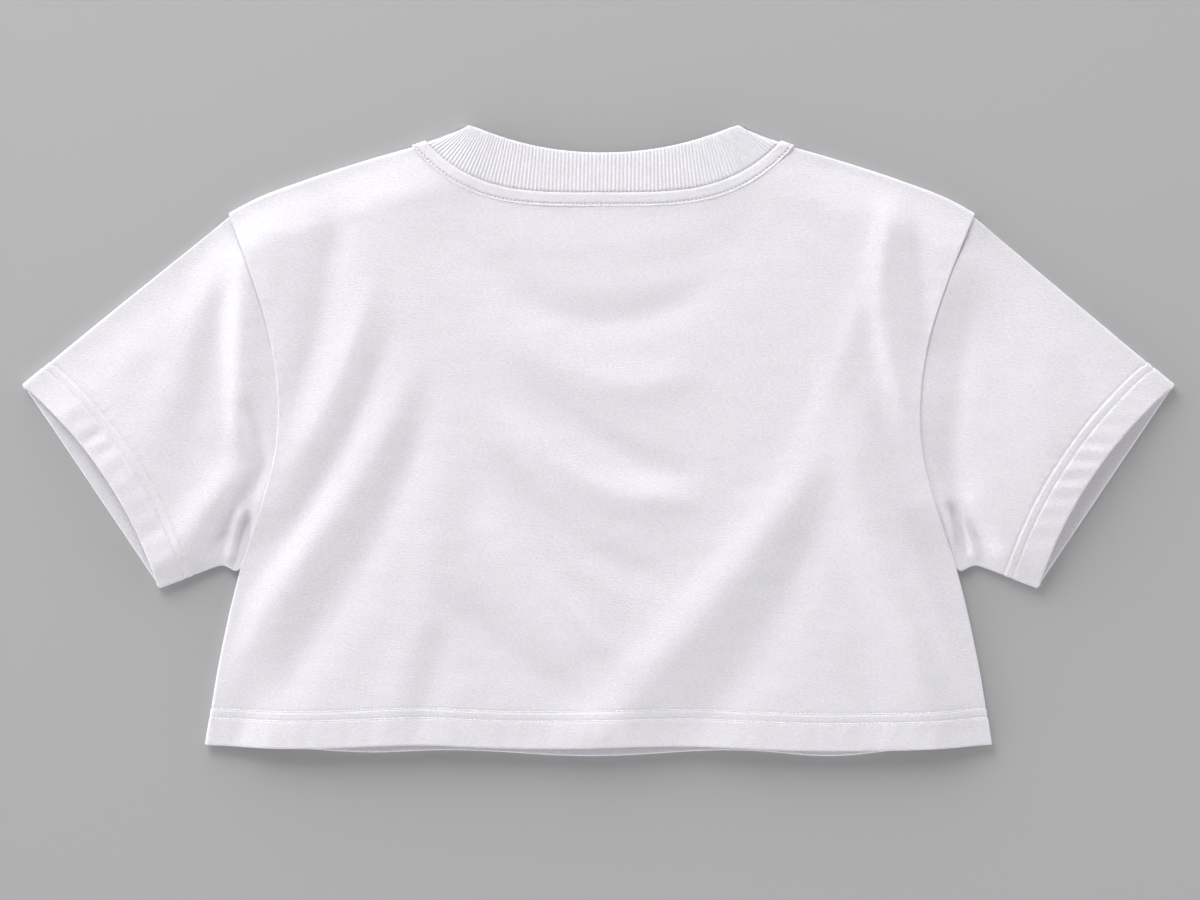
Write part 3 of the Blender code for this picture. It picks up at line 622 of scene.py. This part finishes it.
def stitches(name, lines, pitch, gap, material):
    """Stitches along lines. Each line is (points on it, points a little to its left).

    gap is the share of the pitch that lies bare between two stitches.
    """
    sides, rings = 6, 5
    angles = np.arange(sides) * 2 * np.pi / sides
    within = np.linspace(gap / 2, 1.0 - gap / 2, rings)
    arch = np.sin(np.linspace(0.0, np.pi, rings))[:, None]
    size = THREAD / 2 * (STITCH_END + (1.0 - STITCH_END) * arch)
    points, faces, count = [], [], 0
    ring = np.arange(rings * sides).reshape(rings, sides)
    ends = [ring[0, [3, 2, 1, 0]], ring[0, [5, 4, 3, 0]], ring[-1, :4], ring[-1, [0, 3, 4, 5]]]
    tube = np.concatenate([quads(wrapped(ring)), ends])
    for centre, beside in lines:
        run = run_along(centre)
        number = int(run[-1] / pitch)
        share = (np.arange(number)[:, None] + within) * run[-1] / number
        at = np.stack([np.interp(share, run, v) for v in centre.T], -1)
        to = np.stack([np.interp(share, run, v) for v in beside.T], -1) - at
        along = unit(np.gradient(at, axis=1))
        left = unit(to - (to * along).sum(-1, keepdims=True) * along)
        up = np.cross(along, left)
        middle = at + up * THREAD * (STITCH_ARCH * arch + STITCH_RISE)
        around = left[:, :, None] * np.cos(angles)[:, None]
        around = around + STITCH_FLAT * up[:, :, None] * np.sin(angles)[:, None]
        points.append((middle[:, :, None] + size[..., None] * around).reshape(-1, 3))
        first = count + np.arange(number)[:, None, None] * rings * sides
        faces.append((tube[None] + first).reshape(-1, 4))
        count += number * rings * sides
    return make(name, np.concatenate(points), np.concatenate(faces), material)


# ---- back and front ----

FOLD_STEP = 15.0  # degrees between the stations of a fold
EDGE_STATIONS, EDGE_END = (0.0, 0.1, 0.3, 0.6, 1.0, 1.5), 2.2  # from a hem's edge
ROWS_BEFORE, ROWS_AFTER = 2.0, 2.5  # how far the fine ones reach past the rows of stitches
TOP_DEPTH, TOP_FINE = 19.0, (14.6, 7.4)  # from a panel's top: its stations, and the fine ones
ROW_END = 1.0  # from the body's side to a row's end
BACK_TURN, FRONT_TURN = 0.4, 2.1  # where the waves of the hem's puckers start
NECK_PUCKER = Pucker(0.2, 6.5, 0.7, 1.5, 6.0)  # below the binding
SIDE_PUCKER = Pucker(0.18, 11.0, 1.9, 2.0, 9.0)  # beside the armhole seams
NECK_SWELL, NECK_SWELL_FADE = 1.15, 9.0  # how far the cloth stands up below the binding
NECK_SWELL_LEAD, NECK_SWELL_START = 2.0, 2.1  # where that starts under it, and in what run
SEAM_START = 20.0  # run in which the armhole seam starts above the side seam
RELIEF_FADE = 12.0  # towards the folds
BODY_SLACK, BODY_SEED, BODY_SLACK_FADE = 0.16, 0.3, 10.0  # the back's own unevenness


def spread(start, stop, step):
    """Evenly spaced values from start up to stop, without stop, about a step apart."""
    return np.linspace(start, stop, max(int(round(abs(stop - start) / step)), 1), endpoint=False)


def fold_insets():
    """How far in from a fold its stations lie, from the innermost out."""
    angles = np.radians(np.arange(90.0, -1.0, -FOLD_STEP))
    return FOLD_RADIUS * (1.0 - np.cos(angles))


def hem_stations(step):
    """Distances from the hem's edge, close at the edge and across the rows of stitches."""
    low, high = SEWN_ROWS
    wide = spread(EDGE_END, low - ROWS_BEFORE, step)
    close = spread(low - ROWS_BEFORE, high + ROWS_AFTER, FINE_STEP)
    return np.concatenate([EDGE_STATIONS, wide, close])


def body_grid(face, step):
    """Places of a panel's grid, rows from hem to top, and how far each is from the hem's edge."""
    hem, level = HEMS[face]
    high, low = TOP_FINE
    close = spread(high, low, FINE_STEP if face > 0 else step)
    wide = [spread(TOP_DEPTH, high, step), close, spread(low, FOLD_RADIUS, step)]
    wide = np.concatenate(wide)
    edge = np.concatenate([wide, fold_insets()])
    neck_x, neck_y = neck_line(face)
    apart, _ = shoulder_fold(neck_x, neck_y)
    near = neck_x > NECK_X - 2 * FOLD_RADIUS
    at_fold = [np.interp(-inset, -apart[near], neck_x[near]) for inset in fold_insets()]
    at_neck = np.concatenate([spread(0.0, at_fold[0], step), at_fold])
    beyond = spread(0.0, 1.0, step / (half_width(BACK_HEM_Y) - edge[0] - NECK_X))[1:]
    place = np.concatenate([at_neck, np.full(len(beyond) + len(edge), NECK_X)])
    share = np.concatenate([0 * at_neck, beyond, np.ones(len(edge))])
    inset = np.concatenate([np.full(len(at_neck) + len(beyond), edge[0]), edge])

    def half_row(y):
        return place + share * (half_width(y) - edge[0] - NECK_X) + edge[0] - inset

    top_x = half_row(TIP_Y)
    top_y = np.where(top_x < NECK_X, np.interp(top_x, neck_x, neck_y), shoulder_y(top_x))
    _, inward = shoulder_fold(top_x, top_y)
    hem_rows = hem_stations(step)

    def half_rows(side):
        hem_y = level - waves(hem, side * half_row(level), "drop")
        start = hem_y + hem_rows[-1]
        rows = [hem_y + h for h in hem_rows]
        shares = spread(0.0, 1.0, step / (CLOSED_Y - start[0]))[1:]
        rows += [mix(start, CLOSED_Y, t) for t in shares]
        rows += [np.full_like(top_x, y) for y in spread(CLOSED_Y, OPEN_Y, step)]
        stop = top_y - edge[0]
        shares = spread(0.0, 1.0, step / (NECK_Y - edge[0] - OPEN_Y))
        rows += [mix(OPEN_Y, stop, t) for t in shares]
        rows += [top_y - d for d in wide]
        rows += [top_y + d / inward[:, 1] for d in fold_insets()]
        return np.array(rows), hem_y

    (left, left_hem), (right, right_hem) = half_rows(-1), half_rows(1)
    y = np.concatenate([left[:, :0:-1], right], axis=1)
    hem_y = np.concatenate([left_hem[:0:-1], right_hem])
    x = np.concatenate([-half_row(left)[:, :0:-1], half_row(right)], axis=1)
    return x, y, y - hem_y


def armhole_roll(x, y):
    """How far the outer face turns down at the body's edge over the sleeve."""
    opened = 1.0 - smooth((OPEN_Y - y) / (OPEN_Y - CLOSED_Y))
    past = np.clip(EDGE_ROLL - (half_width(y) - np.abs(x)), 0.0, EDGE_ROLL)
    return opened * (EDGE_ROLL - np.sqrt(EDGE_ROLL**2 - past**2)) * EDGE_ROLL_SHARE


def body_relief(x, y, from_hem, face):
    """Height of a panel's small creases. Those of the front go in, and so up as well."""
    apart, run = from_neck(x, y, face)
    below = np.maximum(apart - BINDING_WIDTH, 0.0)
    at_neck = puckers(NECK_PUCKER, run, below)
    swell = smooth((apart - BINDING_WIDTH + NECK_SWELL_LEAD) / NECK_SWELL_START)
    swell *= np.exp(-below / NECK_SWELL_FADE)
    at_neck += NECK_SWELL * swell * (face > 0)
    from_side = half_width(y) - np.abs(x)
    opened = smooth((y - OPEN_Y) / SEAM_START)
    at_armhole = puckers(SIDE_PUCKER, y, from_side) * opened
    shoulder = smooth(shoulder_fold(x, y)[0] / RELIEF_FADE)
    side = mix(smooth(from_side / RELIEF_FADE), 1.0, opened)
    hem = hem_puckers(from_hem, x, BACK_TURN if face > 0 else FRONT_TURN)
    if face < 0:
        return np.maximum(hem + at_neck, 0.0) * shoulder * side
    own = BODY_SLACK * slack(x, y, BODY_SEED) * smooth(from_side / BODY_SLACK_FADE)
    return (hem + at_neck + at_armhole + own) * shoulder * side


def panel_face(x, y, from_hem, face, inner):
    """Points of a panel's outer or inner face."""
    hem = in_hem(from_hem)
    proud = HEM_STEP * hem * (face > 0)
    edge = round_off(from_hem, CLOTH + proud + HEM_EXTRA * hem)
    if inner:
        depth = CLOTH + HEM_EXTRA * hem - edge
    else:
        depth = edge - proud + hem_press(from_hem) + armhole_roll(x, y)
    points = body_surface(x, y, face, depth)
    points[..., 2] += body_relief(x, y, from_hem, face)
    return points


def panel(name, node, face, step, material):
    x, y, from_hem = body_grid(face, step)
    outer = panel_face(x, y, from_hem, face, False)
    inner = panel_face(x, y, from_hem, face, True)
    return shell(name, node, outer, inner, np.stack([x, y], -1), material, flip=face < 0)


def hem_lines(face):
    """The hem's two rows of stitches, each with the line beside it."""
    hem, level = HEMS[face]
    for row in SEWN_ROWS:
        lines = []
        for distance in (row, row + BESIDE * face):
            x = np.linspace(-1.0, 1.0, DENSE) * (half_width(level + row) - ROW_END)
            from_hem = np.full_like(x, distance)
            y = level - waves(hem, x, "drop") + from_hem
            lines.append(panel_face(x, y, from_hem, face, False))
        yield lines


# ---- sleeves ----

TURN_STEP = 10.0  # degrees between the stations of a sleeve's folds
TOP_BARE, LOW_BARE = 6.0, 5.0  # beside a sleeve's upper and lower fold, without stations
LOW_FINE = 36.0  # at the underarm, with close ones
NEAR_ROWS = (-LAP, -3.0, -1.0, *np.arange(0.0, 3.1, 0.5), *np.arange(4.0, 14.1))  # from its seam
USUAL_RUN = 125.0  # of a sleeve between those and the cuff's rows
ROUND_PACE = 1.3  # how fast the folds come to the cuff's radius
RIDGE_START, TROUGH_START, BUNCH_FADE = 6.0, 2.5, 5.0  # runs of the underarm's creases
SINK_RUN, SINK_GAP = 6.0, 0.15  # run in which they may start to sink, and the gap they leave
SEAM_SWELL, SEAM_PUCKER = 0.95, 0.22  # how far a sleeve stands up beside the armhole seam
SWELL_START, SWELL_FADE = 1.6, 7.0  # runs of that along the sleeve
SWELL_LOW_Y, SWELL_LOW_RUN = 30.0, 90.0  # and where it starts up the seam
CUFF_PUCKER, CUFF_RIGHT = 0.62, 0.17  # height, more at the right and less at the left
CUFF_SKEW = 0.5  # slant of the right cuff's puckers
CUFF_TURN = 0.9  # where their wave starts
CUFF_LEAST = 0.3  # share of their height at a cuff's folds
CUFF_SHARE, CUFF_VARIES, CUFF_VARIES_RUN = 0.8, 0.25, 15.0  # how they differ round the cuff
SLEEVE_SLACK, SLEEVE_SEED, SLEEVE_SLACK_START = 0.14, 1.7, 8.0


def sleeve_stations():
    """Stations round a sleeve: share of the way from upper to lower fold, angle, and face."""
    turn = np.arange(0.0, 91.0, TURN_STEP)
    long = SLEEVE_TOP_Y - SLEEVE_LOW_Y
    fine = spread(long - LOW_FINE, long - LOW_BARE, STEP / 2)
    flat = np.concatenate([spread(TOP_BARE, long - LOW_FINE, STEP), fine]) / long
    stations = [(0.0, a, -1) for a in turn[:0:-1]]
    stations += [(0.0, a, 1) for a in turn]
    stations += [(share, 90.0, 1) for share in flat]
    stations += [(1.0, a, 1) for a in turn[::-1]]
    stations += [(1.0, a, -1) for a in turn[1:]]
    stations += [(share, 90.0, -1) for share in flat[::-1]]
    return np.array(stations).T


def sleeve_surface(side, inner, from_cuff=None):
    """Points of a sleeve's outer or inner face: all its rows, or the one this far from the cuff."""
    across, angle, face = sleeve_stations()
    y = mix(SLEEVE_TOP_Y, SLEEVE_LOW_Y, across)
    armhole = np.stack([half_width(y), y], -1)
    _, shoulder_in = shoulder_fold(np.array([TIP_X]), np.array([TIP_Y]))
    along_shoulder = shoulder_in[0] @ np.array([[0.0, -1.0], [1.0, 0.0]])
    along_shoulder = along_shoulder * np.sign(-along_shoulder[0])
    inwards = mix(along_shoulder, np.array([-1.0, 0.0]), across[:, None])
    chord = np.subtract(CUFF_LOW, CUFF_TOP)
    back_in = np.array([chord[1], -chord[0]]) / np.linalg.norm(chord)
    bow = CUFF_BOW * 4 * across * (1 - across) * (face > 0)
    cuff = CUFF_TOP + across[:, None] * chord + bow[:, None] * back_in
    length = np.linalg.norm(cuff - armhole, axis=-1)
    if from_cuff is None:
        last = hem_stations(STEP)[::-1]
        middle = spread(0.0, 1.0, STEP / USUAL_RUN)[1:]
        along = [np.full_like(length, d) for d in NEAR_ROWS]
        along += [mix(NEAR_ROWS[-1], length - last[0], share) for share in middle]
        along = np.array(along + [length - d for d in last])
    else:
        along = (length - from_cuff)[None]
    distance = length - along
    hem = in_hem(distance)
    proud = HEM_STEP * hem * (face > 0)
    edge = round_off(distance, CLOTH + proud + HEM_EXTRA * hem)
    depth = CLOTH + HEM_EXTRA * hem - edge if inner else edge - proud + hem_press(distance)

    # Places, and then in from the two folds
    out = np.maximum(along, 0.0) / length
    plan = armhole + (cuff - armhole) * out[..., None]
    plan = plan + inwards * np.maximum(-along, 0.0)[..., None]
    upper = mix(CUFF_TOP, armhole_point(0.0), (1.0 - out[..., :1])[..., None])[:, 0]
    lower = mix(CUFF_LOW, armhole_point(1.0), (1.0 - out[..., -1:])[..., None])[:, 0]
    chord_in = (lower - upper)[:, None]
    width = np.linalg.norm(chord_in, axis=-1)
    from_top, from_low = across * width, (1 - across) * width
    share = smooth(ROUND_PACE * out)
    radius = mix(ARMHOLE_RADIUS, CUFF_RADIUS, share)
    angle = np.radians(angle)
    cosine, sine = (np.abs(part) ** (2.0 / FOLD_POWER) for part in (np.cos(angle), np.sin(angle)))
    inset = (radius - (radius - depth) * cosine) * ((across == 0.0) * 1.0 - (across == 1.0))
    plan = plan + inset[..., None] * chord_in / width[..., None]
    tuck = TUCK_DROP * np.exp(-(((along - TUCK_AT) / TUCK_WIDTH) ** 2))
    plan[..., 1] -= tuck * np.maximum(1.0 - from_low / TUCK_REACH, 0.0) ** 2
    x, y = plan[..., 0], plan[..., 1]

    # Heights: the lower side lies on the surface or on the front panel, the upper one is lofted
    lift = SEAT * (1.0 - smooth((along - SEAT_FLAT) / SEAT_RUN))
    arch = 4 * across * (1 - across)
    at_body = body_surface(side * np.minimum(x, half_width(y)), y, 1, 0.0)[..., 2] - SEAT
    own = lift + 2 * radius + mix(ARMHOLE_LOFT, CUFF_LOFT, share) * arch
    rise = mix(at_body, own, smooth(along / SLEEVE_BLEND)) - lift - 2 * radius
    folds = fold_heights(SLEEVE_FOLDS + FINE_SLEEVE_FOLDS, side * x, y)
    rise = rise + CREASE * folds * smooth(along / FOLD_START)
    inside = smooth(from_top / SLEEVE_TOP_FADE) * smooth(from_low / SLEEVE_LOW_FADE)
    sink = np.maximum(2 * (radius - CLOTH) - SINK_GAP, 0.0)
    sink = sink * smooth(along / SINK_RUN - 0.5) * smooth(from_low / SINK_RUN - 0.5)
    bunch = bunched(side * x, y, along, from_low)
    rise = np.maximum(np.maximum(rise, 0.0) * inside + bunch, -sink)
    relief = sleeve_relief(x, y, along, distance, from_top, arch, side) * inside
    z = lift + radius + face * (radius - depth) * sine + (rise + relief) * (face > 0)
    return np.stack([side * x + lean(y) * (1.0 - smooth(out)), y, z], -1), x


def armhole_point(share):
    y = mix(SLEEVE_TOP_Y, SLEEVE_LOW_Y, share)
    return np.array([half_width(y), y])


def bunched(x, y, along, from_low):
    """Height of the creases at the underarm."""
    folds = fold_heights(UNDERARM_FOLDS, x, y)
    ridges = np.maximum(folds, 0.0) * smooth(along / RIDGE_START)
    troughs = np.minimum(folds, 0.0) * smooth(along / TROUGH_START + 1.0)
    return (ridges + troughs) * smooth(from_low / BUNCH_FADE)


def sleeve_relief(x, y, along, from_cuff, from_top, arch, side):
    """Height of the small creases of a sleeve's upper side."""
    seam = smooth(along / SWELL_START)
    seam *= np.exp(-np.maximum(along - SWELL_START, 0.0) / SWELL_FADE)
    seam *= smooth((y - SWELL_LOW_Y) / SWELL_LOW_RUN)
    wave = uneven(y, SIDE_PUCKER.pitch, SIDE_PUCKER.turn + side)
    at_armhole = seam * (SEAM_SWELL + SEAM_PUCKER * wave)
    run = from_top - CUFF_SKEW * max(side, 0) * from_cuff
    height = CUFF_PUCKER + CUFF_RIGHT * side
    cuff = hem_puckers(from_cuff, run, CUFF_TURN + side, height) * mix(CUFF_LEAST, 1.0, arch)
    varies = CUFF_SHARE + CUFF_VARIES * np.sin(from_top / CUFF_VARIES_RUN + 2.0 * side)
    own = SLEEVE_SLACK * slack(side * x, y, SLEEVE_SEED)
    return at_armhole + cuff * varies + own * smooth(along / SLEEVE_SLACK_START)


def sleeve(name, node, side, material):
    outer, x = sleeve_surface(side, False)
    inner, _ = sleeve_surface(side, True)
    place = np.stack([x, outer[..., 1]], -1)
    return shell(name, node, outer, inner, place, material, flip=side < 0, tube=True)


def cuff_lines(side):
    """A sleeve's two rows of stitches, each all round it with the line beside it."""
    for row in SEWN_ROWS:
        lines = [sleeve_surface(side, False, d)[0][0] for d in (row, row + BESIDE * side)]
        yield [np.concatenate([line, line[:1]]) for line in lines]


# ---- collar and binding ----


def rib_edge(face):
    """Quarter of the collar's free edge, from its middle to its peak."""
    low_y, power = RIB_CURVES[face]
    x = PEAK_X * np.sin(np.linspace(0.0, np.pi / 2, DENSE))
    return x, low_y + (PEAK_Y - low_y) * (x / PEAK_X) ** power


def collar_surface(x, y, face, depth):
    return folded(x, y, face, depth, FOLD_RADIUS + RIB_STEP, FOLD_RADIUS + NECK_LIFT)


RIB_COLUMNS = 10  # of a rib and its valley
RIB_ROWS = 12
RIB_TURN = 22.5  # degrees between the rows round the collar's free edge
RIB_DEPTH = 26.0  # from the seam to that edge
RIB_RELIEF, RIB_SHARPNESS = 0.4, 0.8
RIB_AT_EDGE, RIB_INSIDE = 0.7, 0.6  # shares of the ribs' relief
RIB_SINK = 0.04  # depth of the valleys between them
RIB_SEAM_DIP, RIB_SEAM_RUN = 0.1, 1.6  # how far it goes down under the binding


def rib_section():
    """Rows of the collar's section: share of its height, depth, and the ribs' share of relief."""
    turn = np.radians(np.arange(-90.0, 91.0, RIB_TURN))
    radius = RIB_WALL / 2
    reach = radius / RIB_DEPTH
    up = np.linspace(0.0, 1.0 - reach, RIB_ROWS)
    rows = [(share, 0.0, 1.0) for share in up[:-1]]
    for a in turn:
        rows.append((1.0 - reach + reach * np.cos(a), radius * (1 + np.sin(a)), RIB_AT_EDGE))
    return rows + [(share, RIB_WALL, RIB_INSIDE) for share in up[-2::-1]]


def collar_quarter(face):
    """Rows of the collar's section, each from the middle to the peak."""
    seam, edge = neck_line(face, -NECK_GAP), rib_edge(face)
    seam_run = run_along(collar_surface(*seam, face, 0.0))
    edge_run = run_along(collar_surface(*edge, face, 0.0))
    ribs = round(2 * seam_run[-1] / RIB_PITCH / 4) * 2
    share = np.linspace(0.0, 1.0, ribs * RIB_COLUMNS + 1)
    squeeze = seam_run[-1] / edge_run[-1]
    edge_share = squeeze * share + (1.0 - squeeze) * share**3
    seam = np.array([np.interp(share * seam_run[-1], seam_run, line) for line in seam])
    edge = np.array([np.interp(edge_share * edge_run[-1], edge_run, line) for line in edge])
    rise = back_rise(*seam) if face > 0 else 0.0 * share
    drop = RIB_EDGE_DROP * (1.0 - share**2) * (face > 0)
    crest = (0.5 + 0.5 * np.cos(2 * np.pi * share * ribs)) ** RIB_SHARPNESS
    rows, places = [], []
    for up, depth, stands in rib_section():
        height = np.hypot(*(edge - seam)) * up
        dip = RIB_SEAM_DIP * (1.0 - smooth(height / RIB_SEAM_RUN))
        outward = 1.0 - 2.0 * depth / RIB_WALL
        depth = depth + outward * (dip - RIB_RELIEF * stands * crest + RIB_SINK)
        points = collar_surface(*mix(seam, edge, up), face, depth)
        points[:, 2] += rise - drop * up
        rows.append(points)
        places.append(np.stack([share * seam_run[-1], height], -1))
    return rows, places


def ring(back, front, mirror=(-1.0, 1.0, 1.0)):
    """A whole ring from its back and front quarters, each from middle to shoulder.

    mirror has two numbers where the points are places on the flat cloth, which doesn't lean.
    """
    half = np.concatenate([back, front[-2::-1]])
    mirrored = half[-2:0:-1] * mirror
    if len(mirror) == 3:
        mirrored[:, 0] += 2 * lean(mirrored[:, 1])
    return np.concatenate([half, mirrored])


def collar(name, material):
    (back, back_places), (front, front_places) = collar_quarter(1), collar_quarter(-1)
    rings = np.array([ring(b, f) for b, f in zip(back, front)])
    places = np.array([ring(b, f, (-1.0, 1.0)) for b, f in zip(back_places, front_places)])
    index = np.arange(rings.shape[0] * rings.shape[1]).reshape(rings.shape[:2])
    faces = quads(wrapped(np.concatenate([index, index[:1]])))
    piece = make(name, rings.reshape(-1, 3), faces, material, places.reshape(-1, 2))
    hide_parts("collar_rib")
    return piece


BINDING_PROFILE = (  # distance from the seam, and height above or below the flat strip
    (-0.4, -0.32), (-0.25, -0.14), (0.0, -0.02), (0.4, 0.1), (0.9, 0.17), (1.7, 0.16),
    (2.8, 0.07), (4.0, -0.02), (5.6, -0.04), (6.0, -0.14), (6.4, -0.5), (6.8, -0.65),
    (7.2, -0.45), (7.5, -0.04), (7.9, 0.06), (8.2, -0.08), (8.5, -0.22),
)
BINDING_THIN_AT = 7.0  # from where its inner face comes up towards the outer one
BINDING_THIN, BINDING_THIN_RUN = 0.9, 1.5  # how far that is, and in what run
BINDING_STEP, BINDING_CLOSER = 0.5, 2.0  # and how much closer the stations are at the shoulder
NECK_ROW_AT = 11  # the row of stitches in its profile
NECK_ROW_SINK = 0.6  # how deep the row lies
HOLE_DEPTH, HOLE_WIDTH = 0.5, 0.7  # of the needle's holes


def binding_line(face, across, depth):
    """Quarter of the binding this far out from the seam."""
    run = run_along(body_surface(*neck_line(face), face, -BINDING_GAP, gap=0.0))
    near = smooth((run - run[-1] + 2 * BINDING_WIDTH) / BINDING_WIDTH)
    pace = np.cumsum(np.diff(run, prepend=0.0) * (1.0 + BINDING_CLOSER * near))
    shares = np.linspace(0.0, pace[-1], int(pace[-1] / BINDING_STEP))
    points = body_surface(*neck_line(face, across), face, depth, gap=0.0)
    return np.array([np.interp(shares, pace, line) for line in points.T]).T


def binding_ring(across, depth):
    return ring(*[binding_line(face, across, depth) for face in (1, -1)])


def binding(name, material):
    top = -BINDING_GAP - CLOTH
    distances = [d for d, _ in BINDING_PROFILE]
    outer = np.array([binding_ring(d, top - h) for d, h in BINDING_PROFILE])
    thin = [BINDING_THIN * smooth((d - BINDING_THIN_AT) / BINDING_THIN_RUN) for d in distances]
    inner = np.array([binding_ring(d, -BINDING_GAP - t) for d, t in zip(distances, thin)])
    total = run_along(np.concatenate([outer[NECK_ROW_AT], outer[NECK_ROW_AT, :1]]))
    turns = 2 * np.pi * int(total[-1] / NECK_PITCH) * total[:-1] / total[-1]
    holes = (0.5 + 0.5 * np.cos(turns)) ** 2
    inwards = unit(inner - outer)
    for k, d in enumerate(distances):
        deep = HOLE_DEPTH * holes * np.exp(-(((d - NECK_ROW) / HOLE_WIDTH) ** 2))
        outer[k] += inwards[k] * deep[:, None]
    run = run_along(outer[0])
    place = np.array([np.stack([run, 0 * run + d], -1) for d in distances])
    return shell(name, "neck_binding", outer, inner, place, material, flip=True, tube=True)


def neck_stitch_line():
    """The neck's row of stitches, all round, with the line beside it."""
    depth = -BINDING_GAP - CLOTH + NECK_ROW_SINK
    lines = [binding_ring(across, depth) for across in (NECK_ROW, NECK_ROW - BESIDE)]
    return [np.concatenate([line, line[:1]]) for line in lines]


# ---- stage ----

VIEW_X, VIEW_Y = 0.95, -5.7  # what the camera looks at
VIEW_WIDTH, VIEW_LEVEL = 762.4, 5.0  # of the frame, at the cloth's usual height
VIEW_LENS, VIEW_SENSOR = 85.0, 36.0
KEY_PLACE, KEY_SIZE, KEY_POWER = (-1.0, 2.0, 1.55), 1.5, 37.0  # in metres and watts
FILL_PLACE, FILL_SIZE, FILL_POWER = (0.6, -0.4, 2.6), 2.4, 12.0
SKY = 0.14  # strength of the light straight from above
RING, RING_POWER = 3.0, 3.0  # how much brighter it is at the horizon, and how low that lies
SIDE, SIDE_TOWARDS = 3.8, (-0.8, 0.6, 0.0)  # how much more on one side, and which
FLOOR_HALF, FLOOR_Z = 6.0, -0.0002  # in metres


def area_light(name, place, size, power):
    light = bpy.data.lights.new(name, "AREA")
    light.shape = "SQUARE"
    light.size = size
    light.energy = power
    lamp = placed(name, light)
    lamp.location = place
    lamp.rotation_euler = (-Vector(place)).to_track_quat("-Z", "Y").to_euler()


def stage():
    scene = bpy.context.scene
    camera = bpy.data.cameras.new("camera")
    camera.lens, camera.sensor_width = VIEW_LENS, VIEW_SENSOR
    scene.camera = placed("camera", camera)
    height = VIEW_LEVEL + VIEW_WIDTH * VIEW_LENS / VIEW_SENSOR
    scene.camera.location = Vector((VIEW_X, VIEW_Y, height)) * MM
    area_light("key", KEY_PLACE, KEY_SIZE, KEY_POWER)
    area_light("fill", FILL_PLACE, FILL_SIZE, FILL_POWER)
    world = bpy.data.worlds.new("studio")
    world.use_nodes = True
    tree = world.node_tree
    towards = add(tree, "TexCoord").outputs["Generated"]
    up = add(tree, "SeparateXYZ", Vector=towards).outputs["Z"]
    side = add(tree, "VectorMath", i0=towards, i1=SIDE_TOWARDS)
    side.operation = "DOT_PRODUCT"
    low = sums(tree, "SUBTRACT", 1.0, sums(tree, "MAXIMUM", up))
    low = sums(tree, "POWER", low, RING_POWER)
    lit = sums(tree, "MULTIPLY_ADD", sums(tree, "MAXIMUM", side.outputs["Value"]), SIDE, RING)
    strength = sums(tree, "MULTIPLY_ADD", low, lit, SKY)
    put(tree, tree.nodes["Background"], Color=(1.0, 1.0, 1.0, 1.0), Strength=strength)
    scene.world = world
    scene.view_settings.view_transform = "Standard"
    mesh = bpy.data.meshes.new("floor")
    signs = ((-1, -1), (1, -1), (1, 1), (-1, 1))
    corners = [(FLOOR_HALF * x, FLOOR_HALF * y, 0.0) for x, y in signs]
    mesh.from_pydata(corners, [], [(0, 1, 2, 3)])
    mesh.materials.append(floor_material())
    floor = placed("floor", mesh)
    floor.location.z = FLOOR_Z


def main():
    stage()
    cotton, rib, thread = jersey("jersey"), jersey("rib", RIB_KNIT), thread_material()
    back = panel("cloth_back", "back_panel", 1, STEP, cotton)
    front = panel("cloth_front", "front_panel", -1, FRONT_STEP, cotton)
    left = sleeve("cloth_sleeve_left", "sleeve_left", -1, cotton)
    right = sleeve("cloth_sleeve_right", "sleeve_right", 1, cotton)
    neck = collar("cloth_collar", rib)
    tape = binding("cloth_binding", cotton)
    sewn_back = stitches("stitches_back_hem", hem_lines(1), HEM_PITCH, HEM_GAP, thread)
    sewn_front = stitches("stitches_front_hem", hem_lines(-1), HEM_PITCH, HEM_GAP, thread)
    sewn_left = stitches("stitches_left_cuff", cuff_lines(-1), CUFF_PITCH, CUFF_GAP, thread)
    sewn_right = stitches("stitches_right_cuff", cuff_lines(1), CUFF_PITCH, CUFF_GAP, thread)
    lines = [neck_stitch_line()]
    sewn_neck = stitches("stitches_neck", lines, NECK_PITCH, NECK_STITCH_GAP, thread)


main()
